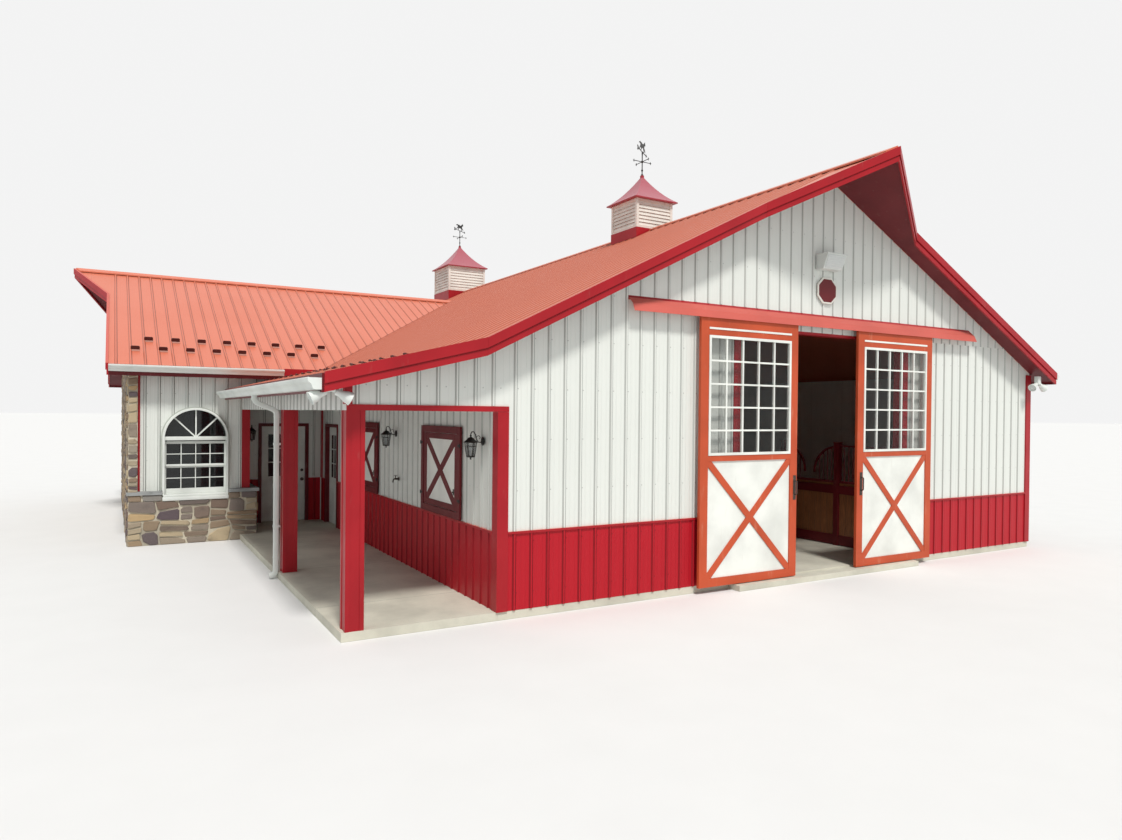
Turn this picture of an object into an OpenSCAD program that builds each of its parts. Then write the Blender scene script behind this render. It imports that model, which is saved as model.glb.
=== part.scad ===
/* [Main barn] */
// Width of the main barn across its gable
barn_w = 11170; // [10600:10:11800]
// Length of the main barn along its ridge
barn_l = 19508; // [18600:4:20400]
// Top of the ridge above the underside of the slab
ridge_z = 6237; // [6100:1:6400]
// Thickness of every outside wall
wall_t = 150; // [120:5:180]
// Thickness of the concrete slab
slab_h = 100; // [80:5:120]
// Height of the red wainscot sheets
wainscot_h = 914; // [850:1:1000]

/* [Roof] */
// Rise over run of the main and wing roofs
pitch = 0.5; // [0.48:0.005:0.52]
// Rise over run of the porch roof
porch_pitch = 0.25; // [0.22:0.01:0.28]
// Overhang at eaves and rakes
overhang = 305; // [280:5:330]
// Thickness of a roof slab, measured straight down
roof_t = 150; // [130:5:170]
// How far the roof runs past the gable at the ridge
prow = 1190; // [1000:10:1300]
// How far from the ridge the gable overhang starts to widen
prow_run = 1650; // [1400:10:1900]

/* [Sheet metal] */
// Distance between the ribs of the siding and roofing
rib_pitch = 228.6; // [200:0.1:305]
// Height of a rib
rib_h = 16; // [10:1:20]
// Width of a rib at its foot
rib_foot = 52; // [40:1:64]
// Width of a rib at its crown
rib_crown = 18; // [12:1:24]

/* [Porch] */
// Width of the porch, from the main wall to the outer face of its posts
porch_w = 1790; // [1700:10:1900]
// Side of a square porch post
post_w = 205; // [180:5:230]
// Underside of the porch headers
porch_head_z = 2466; // [2400:2:2520]

/* [Wing] */
// Distance from the front wall of the barn to the front wall of the wing
wing_y = 7620; // [7500:10:7700]
// Depth of the wing
wing_d = 8534; // [8200:2:8700]
// How far the wing stands out from the main wall
wing_w = 3690; // [3600:10:3800]
// Height of the wing's eave edge
wing_eave_z = 3247; // [3230:1:3270]
// How far the wing roof runs past its gable at the ridge
wing_prow = 945; // [800:5:1100]
// How far from the wing ridge its overhang starts to widen
wing_prow_run = 1327; // [1100:1:1500]
// Depth of the covered entry, behind the wing's front wall
entry_d = 1280; // [1200:10:1400]

/* [Sliding doors] */
// Left edge of the doorway in the front wall
doorway_x = 3740; // [3700:1:3800]
// Width of the doorway between its walls
doorway_w = 3690; // [3600:2:3720]
// Width of one sliding leaf
leaf_w = 1850; // [1840:1:1860]
// Top of a sliding leaf
leaf_top = 3800; // [3790:1:3810]
// Left edge of the left leaf as it stands
left_leaf_x = 2960; // [2900:1:3000]
// Left edge of the right leaf as it stands
right_leaf_x = 6140; // [6100:1:6200]

/* [Cupolas] */
// Width of the front cupola
cupola_a_w = 914; // [860:2:960]
// Width of the rear cupola
cupola_b_w = 1220; // [1160:2:1260]

/* [Hidden] */
$fn = 48;

siding_white = "#d9d8cc";
roof_red = "#d9634c";
trim_red = "#a8202a";
door_red = "#b5341f";
maroon = "#4f1118";
concrete = "#b9b4a8";
stone_grey = "#8d8578";
gutter_white = "#e4e8e4";
sash_white = "#eceeea";
glass_grey = "#5b666b";

ridge_x = barn_w / 2;
floor_z = slab_h;
wainscot_z = slab_h + wainscot_h;
high = 9000;
siding_foot = wainscot_z + 30;
ledge_top_z = 972;
front_rib = 214;
front_rib_right = 357.5;
wing_rib = 116;
roof_rib = 1810;
roof_rib_porch = 115;
wing_roof_rib = 1810;
seam = 2;
rib_gap = rib_h + seam;
sheet = 12;
sheet_t = 4;

porch_eave_x = -porch_w - overhang;
break_x = -overhang;
break_z = ridge_z - pitch * (ridge_x + overhang);
wall_top = ridge_z - pitch * ridge_x - roof_t;

wing_x = -wing_w;
wing_rear_y = wing_y + wing_d;
wing_ridge_y = wing_y + wing_d / 2;
wing_eave_y = wing_y - overhang;
wing_ridge_z = wing_eave_z + pitch * (wing_d / 2 + overhang);
wing_wall_top = wing_eave_z + pitch * overhang - roof_t;
entry_y = wing_y + entry_d;
wing_corner_x = -1665;

door_head_z = 3720;
cover_x = 1830;
cover_end = 9210;
cover_z = 3997;
doorway_end = doorway_x + doorway_w;
leaf_bottom = 90;
leaf_front = -130;
leaf_t = 45;
leaf_back = leaf_front + leaf_t;
stile_w = 140;
leaf_window_z = 1893;
leaf_window_h = 1655;
leaf_panel_z = 204;
leaf_panel_h = 1612;
sash_edge = 38;
sash_bar = 24;

side_door_y = 7500;
wing_door_x = -1242;
entry_w = 920;
entry_head_z = 2135;
entry_leaf_t = 45;
entry_gap = 8;
entry_stop = 14;
entry_leaf_y = 60;
jamb_w = 50;

window_x = -2588;
window_r = 557;
window_spring_z = 1930;
window_sill_z = 790;

shutter_w = 1440;
shutter_h = 1211;
shutter_rail = 92;

vane_turn = 37;

stall_x = 7500;
stall_post = 100;
stall_curve_r = 500;
stall_curve_z = 1400;

cupola_a_y = barn_l / 4;
cupola_b_y = barn_l * 3 / 4;
cupola_a_z = ridge_z - 20 + 580 + 22 + 600;
cupola_b_z = ridge_z - 20 + 750 + 22 + 735;

// Height of the roof surface of the barn and its porch above a place across the barn
function main_z(x) =
    x < break_x ? break_z - porch_pitch * (break_x - x) : ridge_z - pitch * abs(x - ridge_x);

// Height of the wing's roof surface above a place along the barn
function wing_z(y) = wing_ridge_z - pitch * abs(y - wing_ridge_y);

// Front edge of the barn roof, which runs forward towards the ridge
function front_edge(x) =
    -overhang - (prow - overhang) * max(0, 1 - abs(x - ridge_x) / prow_run);

// Left edge of the wing roof, which runs out towards its ridge
function wing_edge(y) =
    wing_x - overhang - (wing_prow - overhang) * max(0, 1 - abs(y - wing_ridge_y) / wing_prow_run);

// An outline on the plan, from the ground up
module on_plan(points, z0 = 0, z1 = high)
    translate([0, 0, z0]) linear_extrude(z1 - z0) polygon(points);

// An outline seen from the front, from one depth to another
module seen_front(points, y0, y1)
    translate([0, y1, 0]) rotate([90, 0, 0]) linear_extrude(y1 - y0) polygon(points);

// An outline seen from the side, from one place across to another
module seen_side(points, x0, x1)
    translate([x0, 0, 0]) rotate([90, 0, 90]) linear_extrude(x1 - x0) polygon(points);

module block(from, to)
    translate(from) cube(to - from);

// A layer that follows the barn roof between two heights measured from its surface
module main_layer(x0, x1, top, bottom, y0 = -3000, y1 = barn_l + 3000)
    seen_front([[x0, main_z(x0) + top], [x1, main_z(x1) + top],
                [x1, main_z(x1) + bottom], [x0, main_z(x0) + bottom]], y0, y1);

// A layer that follows one side of the wing roof
module wing_layer(y0, y1, top, bottom, x0 = -6000, x1 = ridge_x)
    seen_side([[y0, wing_z(y0) + top], [y1, wing_z(y1) + top],
               [y1, wing_z(y1) + bottom], [y0, wing_z(y0) + bottom]], x0, x1);

// Everything below the surface of the barn and porch roofs
module under_main_roof(lift = 0)
    seen_front([[porch_eave_x, 0], [porch_eave_x, main_z(porch_eave_x) + lift],
                [break_x, break_z + lift], [ridge_x, ridge_z + lift],
                [barn_w + overhang, main_z(barn_w + overhang) + lift], [barn_w + overhang, 0]],
               -prow, barn_l + prow);

// Points along a ribbed face, from one end to the other, with its ribs standing out by rib_h
function rib_points(length, first, flat) =
    concat([[0, flat]],
           [for (x = [first:rib_pitch:length - rib_foot / 2 - 1])
               each [[x - rib_foot / 2, flat], [x - rib_crown / 2, flat + rib_h],
                     [x + rib_crown / 2, flat + rib_h], [x + rib_foot / 2, flat]]],
           [[length, flat]]);

// A ribbed sheet on the plan: its back lies on the X axis and its ribs point to -Y
module ribbed_plan(length, first, flat, back)
    mirror([0, 1]) polygon(concat([[0, -back]], rib_points(length, first, flat), [[length, -back]]));

// A wall drawn along +X and facing -Y: ribbed siding between two heights, plain below and above
module sided_wall(outline, length, first, foot = siding_foot, rib_top = high)
    intersection() {
        union() {
            translate([0, 0, foot]) linear_extrude(rib_top - foot)
                ribbed_plan(length, first, 0, wall_t);
            block([0, 0, 0], [length, wall_t, high]);
        }
        seen_front(outline, -100, wall_t);
    }

// Sets a wall that was drawn facing -Y on another side of the building
module facing_left(x, y) translate([x, y, 0]) rotate([0, 0, -90]) children();

module facing_right(x, y) translate([x, y, 0]) rotate([0, 0, 90]) children();

module facing_rear(x, y) translate([x, y, 0]) rotate([0, 0, 180]) children();

// A slab rising towards +X whose rib crowns lie on the sloping plane through the Y axis
module ribbed_slope(rise, run, length, first) {
    tilt = atan(rise);
    depth = roof_t * cos(tilt);
    rotate([0, -tilt, 0]) rotate([90, 0, 90]) translate([0, 0, -400])
        linear_extrude(run / cos(tilt) + 800)
            polygon(concat([[0, -depth]], rib_points(length, first, -rib_h), [[length, -depth]]));
}

// Slabs and sill
module floor_slab()
    color(concrete) {
        block([0, 0, 0], [barn_w, barn_l, slab_h]);
        block([wing_x + wall_t, entry_y, 0], [0, wing_rear_y, slab_h]);
        block([wing_x + wall_t, wing_y, 0], [wing_corner_x, entry_y, slab_h]);
    }

module porch_slab()
    color(concrete) {
        block([-porch_w - 40, 0, 0], [-seam, wing_y - 130 - seam, slab_h]);
        block([wing_corner_x + 130 + seam, wing_y - 130, 0], [-seam, entry_y - seam, slab_h]);
    }

module door_sill()
    color(concrete) block([doorway_x - 130, -230, 0], [doorway_end + 130, -seam, 78]);

// Walls of the barn
gable_foot_x = ridge_x - (ridge_z - roof_t - door_head_z) / pitch;

module front_wall()
    color(siding_white) {
        difference() {
            sided_wall([[0, floor_z], [doorway_x, floor_z], [doorway_x, door_head_z],
                        [gable_foot_x, door_head_z], [0, wall_top]], doorway_x, front_rib);
            block([doorway_x - 80 - seam, -rib_h - 1, 0], [doorway_x + 1, 0, door_head_z]);
        }
        translate([barn_w, 0, 0]) mirror([1, 0, 0])
            sided_wall([[0, floor_z], [barn_w - doorway_end, floor_z],
                        [barn_w - doorway_end, door_head_z],
                        [gable_foot_x, door_head_z], [0, wall_top]],
                       barn_w - doorway_end, front_rib_right);
    }

module front_gable_wall()
    color(siding_white) difference() {
        sided_wall([[gable_foot_x, door_head_z], [barn_w - gable_foot_x, door_head_z],
                    [ridge_x, ridge_z - roof_t]], barn_w, front_rib, 1);
        block([cover_x - seam, -rib_h - 1, cover_z - 60], [cover_end + seam, 0, cover_z + seam]);
    }

module porch_header()
    color(siding_white) translate([-porch_w, 0, 0])
        sided_wall([[0, porch_head_z], [porch_w, porch_head_z], [porch_w, wall_top],
                    [porch_w + break_x, break_z - roof_t], [0, main_z(-porch_w) - roof_t]],
                   porch_w, rib_pitch / 2, porch_head_z + 66);

// A straight wall from the floor to a level top
module level_wall(length, first, z0, z1, foot = siding_foot)
    sided_wall([[0, z0], [length, z0], [length, z1], [0, z1]], length, first, foot,
               z1 - pitch * rib_h - seam);

module left_wall() {
    open_y = side_door_y - jamb_w;
    open_end = side_door_y + entry_w + jamb_w;
    color(siding_white) {
        facing_left(0, open_y)
            level_wall(open_y - wall_t, rib_pitch / 2, floor_z, wall_top);
        difference() {
            facing_left(0, open_end - seam)
                level_wall(open_end - open_y - 2 * seam, rib_pitch / 2,
                           entry_head_z + jamb_w, wall_top, 1);
            block([-rib_h - 1, wing_y - seam, 0], [0, wing_y + wall_t + seam, high]);
        }
        facing_left(0, barn_l - wall_t)
            level_wall(barn_l - wall_t - wing_rear_y - 140, rib_pitch / 2, floor_z, wall_top);
        block([0, open_end, floor_z], [wall_t, wing_rear_y + 140, wall_top]);
    }
}

module right_wall()
    color(siding_white) facing_right(barn_w, wall_t)
        level_wall(barn_l - 2 * wall_t, rib_pitch / 2, floor_z, wall_top);

module rear_wall()
    color(siding_white) facing_rear(barn_w, barn_l)
        sided_wall([[0, floor_z], [barn_w, floor_z], [barn_w, wall_top],
                    [ridge_x, ridge_z - roof_t], [0, wall_top]], barn_w, front_rib);

// Space taken by the barn roof's eave, where the wing's walls run in under it
module barn_eave()
    main_layer(break_x, ridge_x, 400, -roof_t);

// Walls of the wing
module arch_shape(grow = 0) {
    r = window_r + grow;
    translate([window_x, window_spring_z]) circle(r = r);
    translate([window_x - r, window_sill_z - grow])
        square([2 * r, window_spring_z - window_sill_z + grow]);
}

module window_outline(grow = 0)
    translate([0, wing_y + 300, 0]) rotate([90, 0, 0]) linear_extrude(600) arch_shape(grow);

module wing_front_wall()
    color(siding_white) {
        difference() {
            translate([wing_x + wall_t, wing_y, 0])
                level_wall(wing_corner_x - wing_x - wall_t, wing_rib, floor_z, wing_wall_top,
                           ledge_top_z);
            window_outline();
        }
        difference() {
            translate([wing_corner_x, wing_y, 0])
                level_wall(-wing_corner_x - seam, rib_pitch / 2, porch_head_z, wing_wall_top, 1);
            barn_eave();
        }
    }

module entry_wall() {
    open_x = wing_door_x - jamb_w;
    open_end = wing_door_x + entry_w + jamb_w;
    color(siding_white) difference() {
        union() {
            facing_right(wing_corner_x, wing_y + wall_t)
                level_wall(entry_d - wall_t, rib_pitch / 2, floor_z, wing_wall_top, ledge_top_z);
            translate([wing_corner_x + rib_h + seam, entry_y, 0])
                level_wall(open_x - wing_corner_x - rib_h - seam, rib_pitch / 2, floor_z,
                           wing_wall_top);
            translate([open_x + seam, entry_y, 0])
                level_wall(open_end - open_x - 2 * seam, rib_pitch / 2, entry_head_z + jamb_w,
                           wing_wall_top, 1);
            translate([open_end, entry_y, 0])
                level_wall(-open_end, rib_pitch / 2, floor_z, wing_wall_top);
        }
        barn_eave();
    }
}

module wing_gable_wall()
    color(stone_grey)
        seen_side([[wing_y - 130, 0], [wing_rear_y + 130, 0],
                   [wing_rear_y + 130, wing_z(wing_rear_y + 130) - roof_t],
                   [wing_ridge_y, wing_ridge_z - roof_t],
                   [wing_y - 130, wing_z(wing_y - 130) - roof_t]],
                  wing_x, wing_x + wall_t);

module wing_rear_wall()
    color(siding_white) difference() {
        facing_rear(0, wing_rear_y)
            level_wall(wing_w - wall_t, rib_pitch / 2, floor_z, wing_wall_top, ledge_top_z);
        barn_eave();
    }

// Fieldstone below the wing's walls, with its ledge
module stone_wainscot()
    color(stone_grey) {
        difference() {
            block([wing_x + wall_t, wing_y - 130, 0], [wing_corner_x + 130, wing_y, 910]);
            window_outline();
        }
        block([wing_corner_x, wing_y + seam, 0], [wing_corner_x + 130, entry_y, 910]);
        block([wing_x + wall_t, wing_rear_y, 0], [-seam, wing_rear_y + 130, 910]);
    }

module stone_ledge()
    color(concrete) {
        difference() {
            union() {
                block([wing_x - 28, wing_y - 170, 910], [wing_corner_x + 170, wing_y - 132, 970]);
                block([wing_x + wall_t, wing_y - 133, 910], [wing_corner_x + 170, wing_y, 970]);
            }
            window_outline();
        }
        block([wing_corner_x, wing_y + seam, 910], [wing_corner_x + 170, entry_y - 24, 970]);
        block([wing_x + wall_t, wing_rear_y, 910], [-24, wing_rear_y + 170, 970]);
    }

// Roofs
module main_roof_left()
    color(roof_red) intersection() {
        main_outline();
        translate([break_x, -2000, break_z])
            ribbed_slope(pitch, ridge_x - break_x, barn_l + 4000, roof_rib);
        on_plan([[break_x, -2000], [ridge_x, -2000], [ridge_x, barn_l + 2000],
                 [break_x, barn_l + 2000]]);
    }

module main_roof_right()
    color(roof_red) intersection() {
        main_outline();
        translate([barn_w - break_x, -2000, break_z]) mirror([1, 0, 0])
            ribbed_slope(pitch, ridge_x - break_x, barn_l + 4000, roof_rib);
        on_plan([[ridge_x, -2000], [barn_w + overhang, -2000],
                 [barn_w + overhang, barn_l + 2000], [ridge_x, barn_l + 2000]]);
    }

module porch_roof()
    color(roof_red) intersection() {
        translate([porch_eave_x, -overhang, main_z(porch_eave_x)])
            ribbed_slope(porch_pitch, porch_w, wing_y + overhang, roof_rib_porch);
        on_plan([[porch_eave_x, -overhang], [break_x, -overhang],
                 [break_x, wing_y - rib_gap], [porch_eave_x, wing_y - rib_gap]]);
    }

// One slope of the wing: the front one rises towards +Y and the rear one is its mirror image
module wing_slope()
    translate([wing_x - 2000, wing_eave_y, wing_eave_z]) rotate([0, 0, 90]) mirror([0, 1, 0])
        ribbed_slope(pitch, wing_d / 2 + overhang, ridge_x - wing_x + 2000, wing_roof_rib);

module wing_roof_front()
    color(roof_red) difference() {
        intersection() {
            wing_outline();
            wing_slope();
            on_plan([[wing_x - 2000, wing_eave_y], [ridge_x, wing_eave_y],
                     [ridge_x, wing_ridge_y], [wing_x - 2000, wing_ridge_y]]);
        }
        under_main_roof(1);
    }

module wing_roof_rear()
    color(roof_red) difference() {
        intersection() {
            wing_outline();
            translate([0, 2 * wing_ridge_y, 0]) mirror([0, 1, 0]) wing_slope();
            on_plan([[wing_x - 2000, wing_ridge_y], [ridge_x, wing_ridge_y],
                     [ridge_x, wing_rear_y + overhang], [wing_x - 2000, wing_rear_y + overhang]]);
        }
        under_main_roof(1);
    }

// Outlines of the roofs on the plan
module main_outline()
    on_plan([[ridge_x, front_edge(ridge_x)], [ridge_x + prow_run, -overhang],
             [barn_w + overhang, -overhang], [barn_w + overhang, barn_l + overhang],
             [ridge_x + prow_run, barn_l + overhang], [ridge_x, barn_l - front_edge(ridge_x)],
             [ridge_x - prow_run, barn_l + overhang], [break_x, barn_l + overhang],
             [break_x, -overhang], [ridge_x - prow_run, -overhang]]);

module wing_outline()
    on_plan([[wing_edge(wing_ridge_y), wing_ridge_y],
             [wing_x - overhang, wing_ridge_y + wing_prow_run],
             [wing_x - overhang, wing_rear_y + overhang], [ridge_x, wing_rear_y + overhang],
             [ridge_x, wing_eave_y], [wing_x - overhang, wing_eave_y],
             [wing_x - overhang, wing_ridge_y - wing_prow_run]]);

module cap_profile(z)
    polygon([[0, z + 45], [150, z + 45 - 150 * pitch], [150, z + 20 - 150 * pitch],
             [0, z + 20], [-150, z + 20 - 150 * pitch], [-150, z + 45 - 150 * pitch]]);

module ridge_caps()
    color(roof_red) {
        difference() {
            intersection() {
                translate([ridge_x, barn_l + prow, 0]) rotate([90, 0, 0])
                    linear_extrude(barn_l + 2 * prow) cap_profile(ridge_z - 19);
                main_outline();
            }
            under_main_roof(1);
            for (c = [[cupola_a_y, cupola_a_w], [cupola_b_y, cupola_b_w]])
                block([0, c[0] - c[1] / 2, 0], [barn_w, c[0] + c[1] / 2, high]);
        }
        difference() {
            intersection() {
                translate([wing_x - wing_prow, wing_ridge_y, 0]) rotate([90, 0, 90])
                    linear_extrude(wing_w + wing_prow + ridge_x) cap_profile(wing_ridge_z - 19);
                wing_outline();
            }
            under_main_roof(1);
            seen_side([[wing_ridge_y - 400, wing_ridge_z + 1 - 400 * pitch],
                       [wing_ridge_y, wing_ridge_z + 1],
                       [wing_ridge_y + 400, wing_ridge_z + 1 - 400 * pitch]],
                      wing_x - 2000, ridge_x);
        }
    }

// Two-step trim along one straight run of the barn's rake, at the front or the rear
module main_rake(x0, x1, rear = false) {
    place = rear ? barn_l : 0;
    turn = rear ? -1 : 1;
    for (band = [[8, -112, 45], [-112, -126, 18], [-126, -200, 28]])
        intersection() {
            on_plan([for (p = [[x0, 0], [x1, 0], [x1, 1], [x0, 1]])
                     [p[0], place + turn * (front_edge(p[0]) - 1 - p[1] * band[2])]]);
            main_layer(x0, x1, band[0], band[1]);
        }
}

module wing_rake(y0, y1)
    for (band = [[8, -112, 45], [-112, -126, 18], [-126, -200, 28]])
        intersection() {
            on_plan([for (p = [[y0, 0], [y1, 0], [y1, 1], [y0, 1]])
                     [wing_edge(p[0]) - 1 - p[1] * band[2], p[0]]]);
            wing_layer(y0, y1, band[0], band[1]);
        }

module rake_trim()
    color(trim_red) {
        for (rear = [false, true]) {
            main_rake(break_x + (rear ? 0 : seam), ridge_x - prow_run - seam, rear);
            main_rake(ridge_x - prow_run, ridge_x - seam, rear);
            main_rake(ridge_x, ridge_x + prow_run - seam, rear);
            main_rake(ridge_x + prow_run, barn_w + overhang, rear);
        }
        main_rake(porch_eave_x, break_x);
        wing_rake(wing_eave_y, wing_ridge_y - wing_prow_run - seam);
        wing_rake(wing_ridge_y - wing_prow_run, wing_ridge_y - seam);
        wing_rake(wing_ridge_y, wing_ridge_y + wing_prow_run - seam);
        wing_rake(wing_ridge_y + wing_prow_run, wing_rear_y + overhang);
    }

// Boards along the eaves, behind the gutters
module eave_trim() {
    right_z = main_z(barn_w + overhang);
    porch_z = main_z(porch_eave_x);
    color(trim_red) {
        block([barn_w + overhang, -overhang, right_z - 200],
              [barn_w + overhang + 20, barn_l + overhang, right_z - 5]);
        block([porch_eave_x - 20, -overhang, porch_z - 200],
              [porch_eave_x, wing_y - 200, porch_z - 5]);
        difference() {
            block([wing_x - overhang, wing_eave_y - 20, wing_eave_z - 200],
                  [-1100, wing_eave_y, wing_eave_z - 5]);
            under_main_roof(2);
        }
        block([wing_x - overhang, wing_rear_y + overhang, wing_eave_z - 200],
              [break_x - 30, wing_rear_y + overhang + 20, wing_eave_z - 5]);
        block([break_x - 20, wing_rear_y + overhang + 40, break_z - 200],
              [break_x, barn_l + overhang, break_z - 5]);
    }
}

// Ribbed sheets that close the overhangs from below
module gable_soffit(x0, x1, rear = false) {
    place = rear ? barn_l : 0;
    turn = rear ? -1 : 1;
    intersection() {
        on_plan([for (p = [[x0, front_edge(x0)], [x1, front_edge(x1)],
                          [x1, -rib_gap], [x0, -rib_gap]])
                 [p[0], place + turn * p[1]]]);
        main_layer(x0, x1, -roof_t, -roof_t - sheet);
    }
}

module wing_soffit(y0, y1)
    intersection() {
        on_plan([[wing_edge(y0), y0], [wing_edge(y1), y1], [wing_x, y1], [wing_x, y0]]);
        wing_layer(y0, y1, -roof_t, -roof_t - sheet);
    }

module soffits()
    color(maroon) {
        for (rear = [false, true]) {
            gable_soffit(rear ? break_x : break_x + seam, ridge_x - prow_run - seam, rear);
            gable_soffit(ridge_x - prow_run, ridge_x - seam, rear);
            gable_soffit(ridge_x, ridge_x + prow_run - seam, rear);
            gable_soffit(ridge_x + prow_run, barn_w + overhang, rear);
        }
        gable_soffit(porch_eave_x, break_x);
        main_layer(barn_w + rib_gap, barn_w + overhang, -roof_t, -roof_t - sheet,
                   -rib_gap + seam, barn_l + rib_gap - seam);
        main_layer(break_x, -rib_gap, -roof_t, -roof_t - sheet, wing_rear_y + rib_gap,
                   barn_l + rib_gap - seam);
        main_layer(porch_eave_x, -porch_w - rib_gap, -roof_t, -roof_t - sheet,
                   -rib_gap + seam, wing_y - 200);
        main_layer(-porch_w + 105 + rib_gap, break_x, -roof_t, -roof_t - sheet,
                   wall_t + seam, wing_y - rib_gap);
        main_layer(break_x + seam, -rib_gap, -roof_t, -roof_t - sheet,
                   wall_t + seam, wing_y - rib_gap);
        wing_layer(wing_eave_y, wing_y - rib_gap, -roof_t, -roof_t - sheet,
                   wing_x + wall_t + seam, -1250);
        wing_layer(wing_rear_y + rib_gap, wing_rear_y + overhang, -roof_t, -roof_t - sheet,
                   wing_x + wall_t + seam, break_x - seam);
        block([wing_corner_x + rib_gap, wing_y + wall_t + seam, 2880],
              [-rib_gap, entry_y - rib_gap - 8, 2880 + sheet]);
        wing_soffit(wing_eave_y, wing_ridge_y - wing_prow_run - seam);
        wing_soffit(wing_ridge_y - wing_prow_run, wing_ridge_y - seam);
        wing_soffit(wing_ridge_y, wing_ridge_y + wing_prow_run - seam);
        wing_soffit(wing_ridge_y + wing_prow_run, wing_rear_y + overhang);
    }

// Gutters, open at the top, and their downspout
module gutter_profile()
    difference() {
        polygon([[0, 0], [0, -125], [78, -125], [88, -95], [112, -62], [120, -30], [120, 0]]);
        polygon([[4, 1], [4, -121], [75, -121], [84, -93], [108, -60], [116, -29], [116, 1]]);
    }

module gutter(length) {
    rotate([90, 0, 0]) translate([0, 0, -length]) linear_extrude(length) gutter_profile();
    for (end = [0, length - 4])
        translate([0, end + 4, 0]) rotate([90, 0, 0]) linear_extrude(4)
            polygon([[0, 0], [0, -125], [78, -125], [88, -95], [112, -62], [120, -30], [120, 0]]);
}

module gutters() {
    right_z = main_z(barn_w + overhang) - 25;
    porch_z = main_z(porch_eave_x) - 15;
    color(gutter_white) {
        translate([barn_w + overhang + 20, -overhang, right_z])
            gutter(barn_l + 2 * overhang);
        translate([porch_eave_x - 20, -overhang, porch_z]) mirror([1, 0, 0])
            gutter(wing_y - 100 + overhang);
        translate([wing_x - overhang, wing_eave_y - 20, wing_eave_z - 15])
            rotate([0, 0, -90]) gutter(2900);
        translate([break_x - 30, wing_rear_y + overhang + 20, wing_eave_z - 15])
            rotate([0, 0, 90]) gutter(wing_w + overhang - overhang - 30);
    }
}

module downspout() {
    out_x = porch_eave_x - 75;
    in_x = -porch_w - 64;
    top_z = main_z(porch_eave_x) - 15 - 125;
    color(gutter_white)
        seen_front([[out_x - 38, top_z], [out_x + 38, top_z], [out_x + 38, top_z - 95],
                    [in_x + 38, top_z - 215], [in_x + 38, floor_z + 60],
                    [in_x + 10, floor_z + 10], [in_x - 90, floor_z + 10],
                    [in_x - 90, floor_z + 70], [in_x - 38, floor_z + 95],
                    [in_x - 38, top_z - 262], [out_x - 38, top_z - 142]],
                   3560, 3615);
}

// Porch posts wrapped in sheet metal, with a shallow recess up each face, and the header
module post() {
    recess = 7;
    translate([post_w / 2, post_w / 2, floor_z]) linear_extrude(porch_head_z - floor_z)
        difference() {
            square(post_w, center = true);
            for (turn = [0, 90, 180, 270])
                rotate(turn) translate([post_w / 2 - recess, -post_w * 0.27])
                    square([recess + 1, post_w * 0.54]);
        }
}

module porch_posts()
    color(trim_red) {
        translate([-porch_w, 0, 0]) post();
        translate([-porch_w, 3450, 0]) post();
    }

module porch_beam() {
    beam_w = 105;
    top_z = main_z(-porch_w) - roof_t;
    rib_top = top_z - pitch * rib_h - seam;
    color(siding_white) facing_left(-porch_w, wing_y) {
        translate([0, 0, porch_head_z]) linear_extrude(rib_top - porch_head_z)
            ribbed_plan(wing_y - wall_t, rib_pitch / 2, 0, beam_w);
        block([0, 0, porch_head_z], [wing_y - wall_t, beam_w, top_z]);
    }
}

// Red ribbed sheets below the siding, drawn along +X and facing -Y
module skirt(length, first)
    translate([0, 0, floor_z]) linear_extrude(wainscot_h) ribbed_plan(length, first, sheet_t, 0);

module wainscot() {
    trim_w = 125;
    left_rib = front_rib - trim_w;
    side_rib = rib_pitch / 2 + wall_t - trim_w;
    front_run = doorway_x - 82 - trim_w;
    side_end = side_door_y + entry_w + jamb_w;
    color(trim_red) {
        translate([trim_w, 0, 0]) skirt(front_run, left_rib);
        translate([barn_w - trim_w, 0, 0]) mirror([1, 0, 0])
            skirt(barn_w - trim_w - doorway_end - 82, front_rib_right - trim_w);
        facing_left(0, side_door_y - jamb_w)
            skirt(side_door_y - jamb_w - trim_w, rib_pitch / 2);
        facing_left(0, entry_y - 22) skirt(entry_y - 22 - side_end, rib_pitch / 2);
        facing_left(0, barn_l - trim_w)
            skirt(barn_l - trim_w - wing_rear_y - 135, side_rib);
        facing_right(barn_w, trim_w) skirt(barn_l - 2 * trim_w, side_rib);
        facing_rear(barn_w - trim_w, barn_l) skirt(barn_w - 2 * trim_w, left_rib);
        translate([wing_corner_x + 132, entry_y, 0])
            skirt(wing_door_x - jamb_w - wing_corner_x - 132, 120);
        translate([wing_door_x + entry_w + jamb_w, entry_y, 0])
            skirt(-22 - wing_door_x - entry_w - jamb_w, 125);
    }
}

// Corner trims, the cap over the wainscot and the trim round the porch opening
module corner(x, y, turn, z0, z1)
    translate([x, y, z0]) rotate([0, 0, turn]) {
        block([-22, -22, 0], [123, 0, z1 - z0]);
        block([-22, 0, 0], [0, 123, z1 - z0]);
    }

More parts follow.
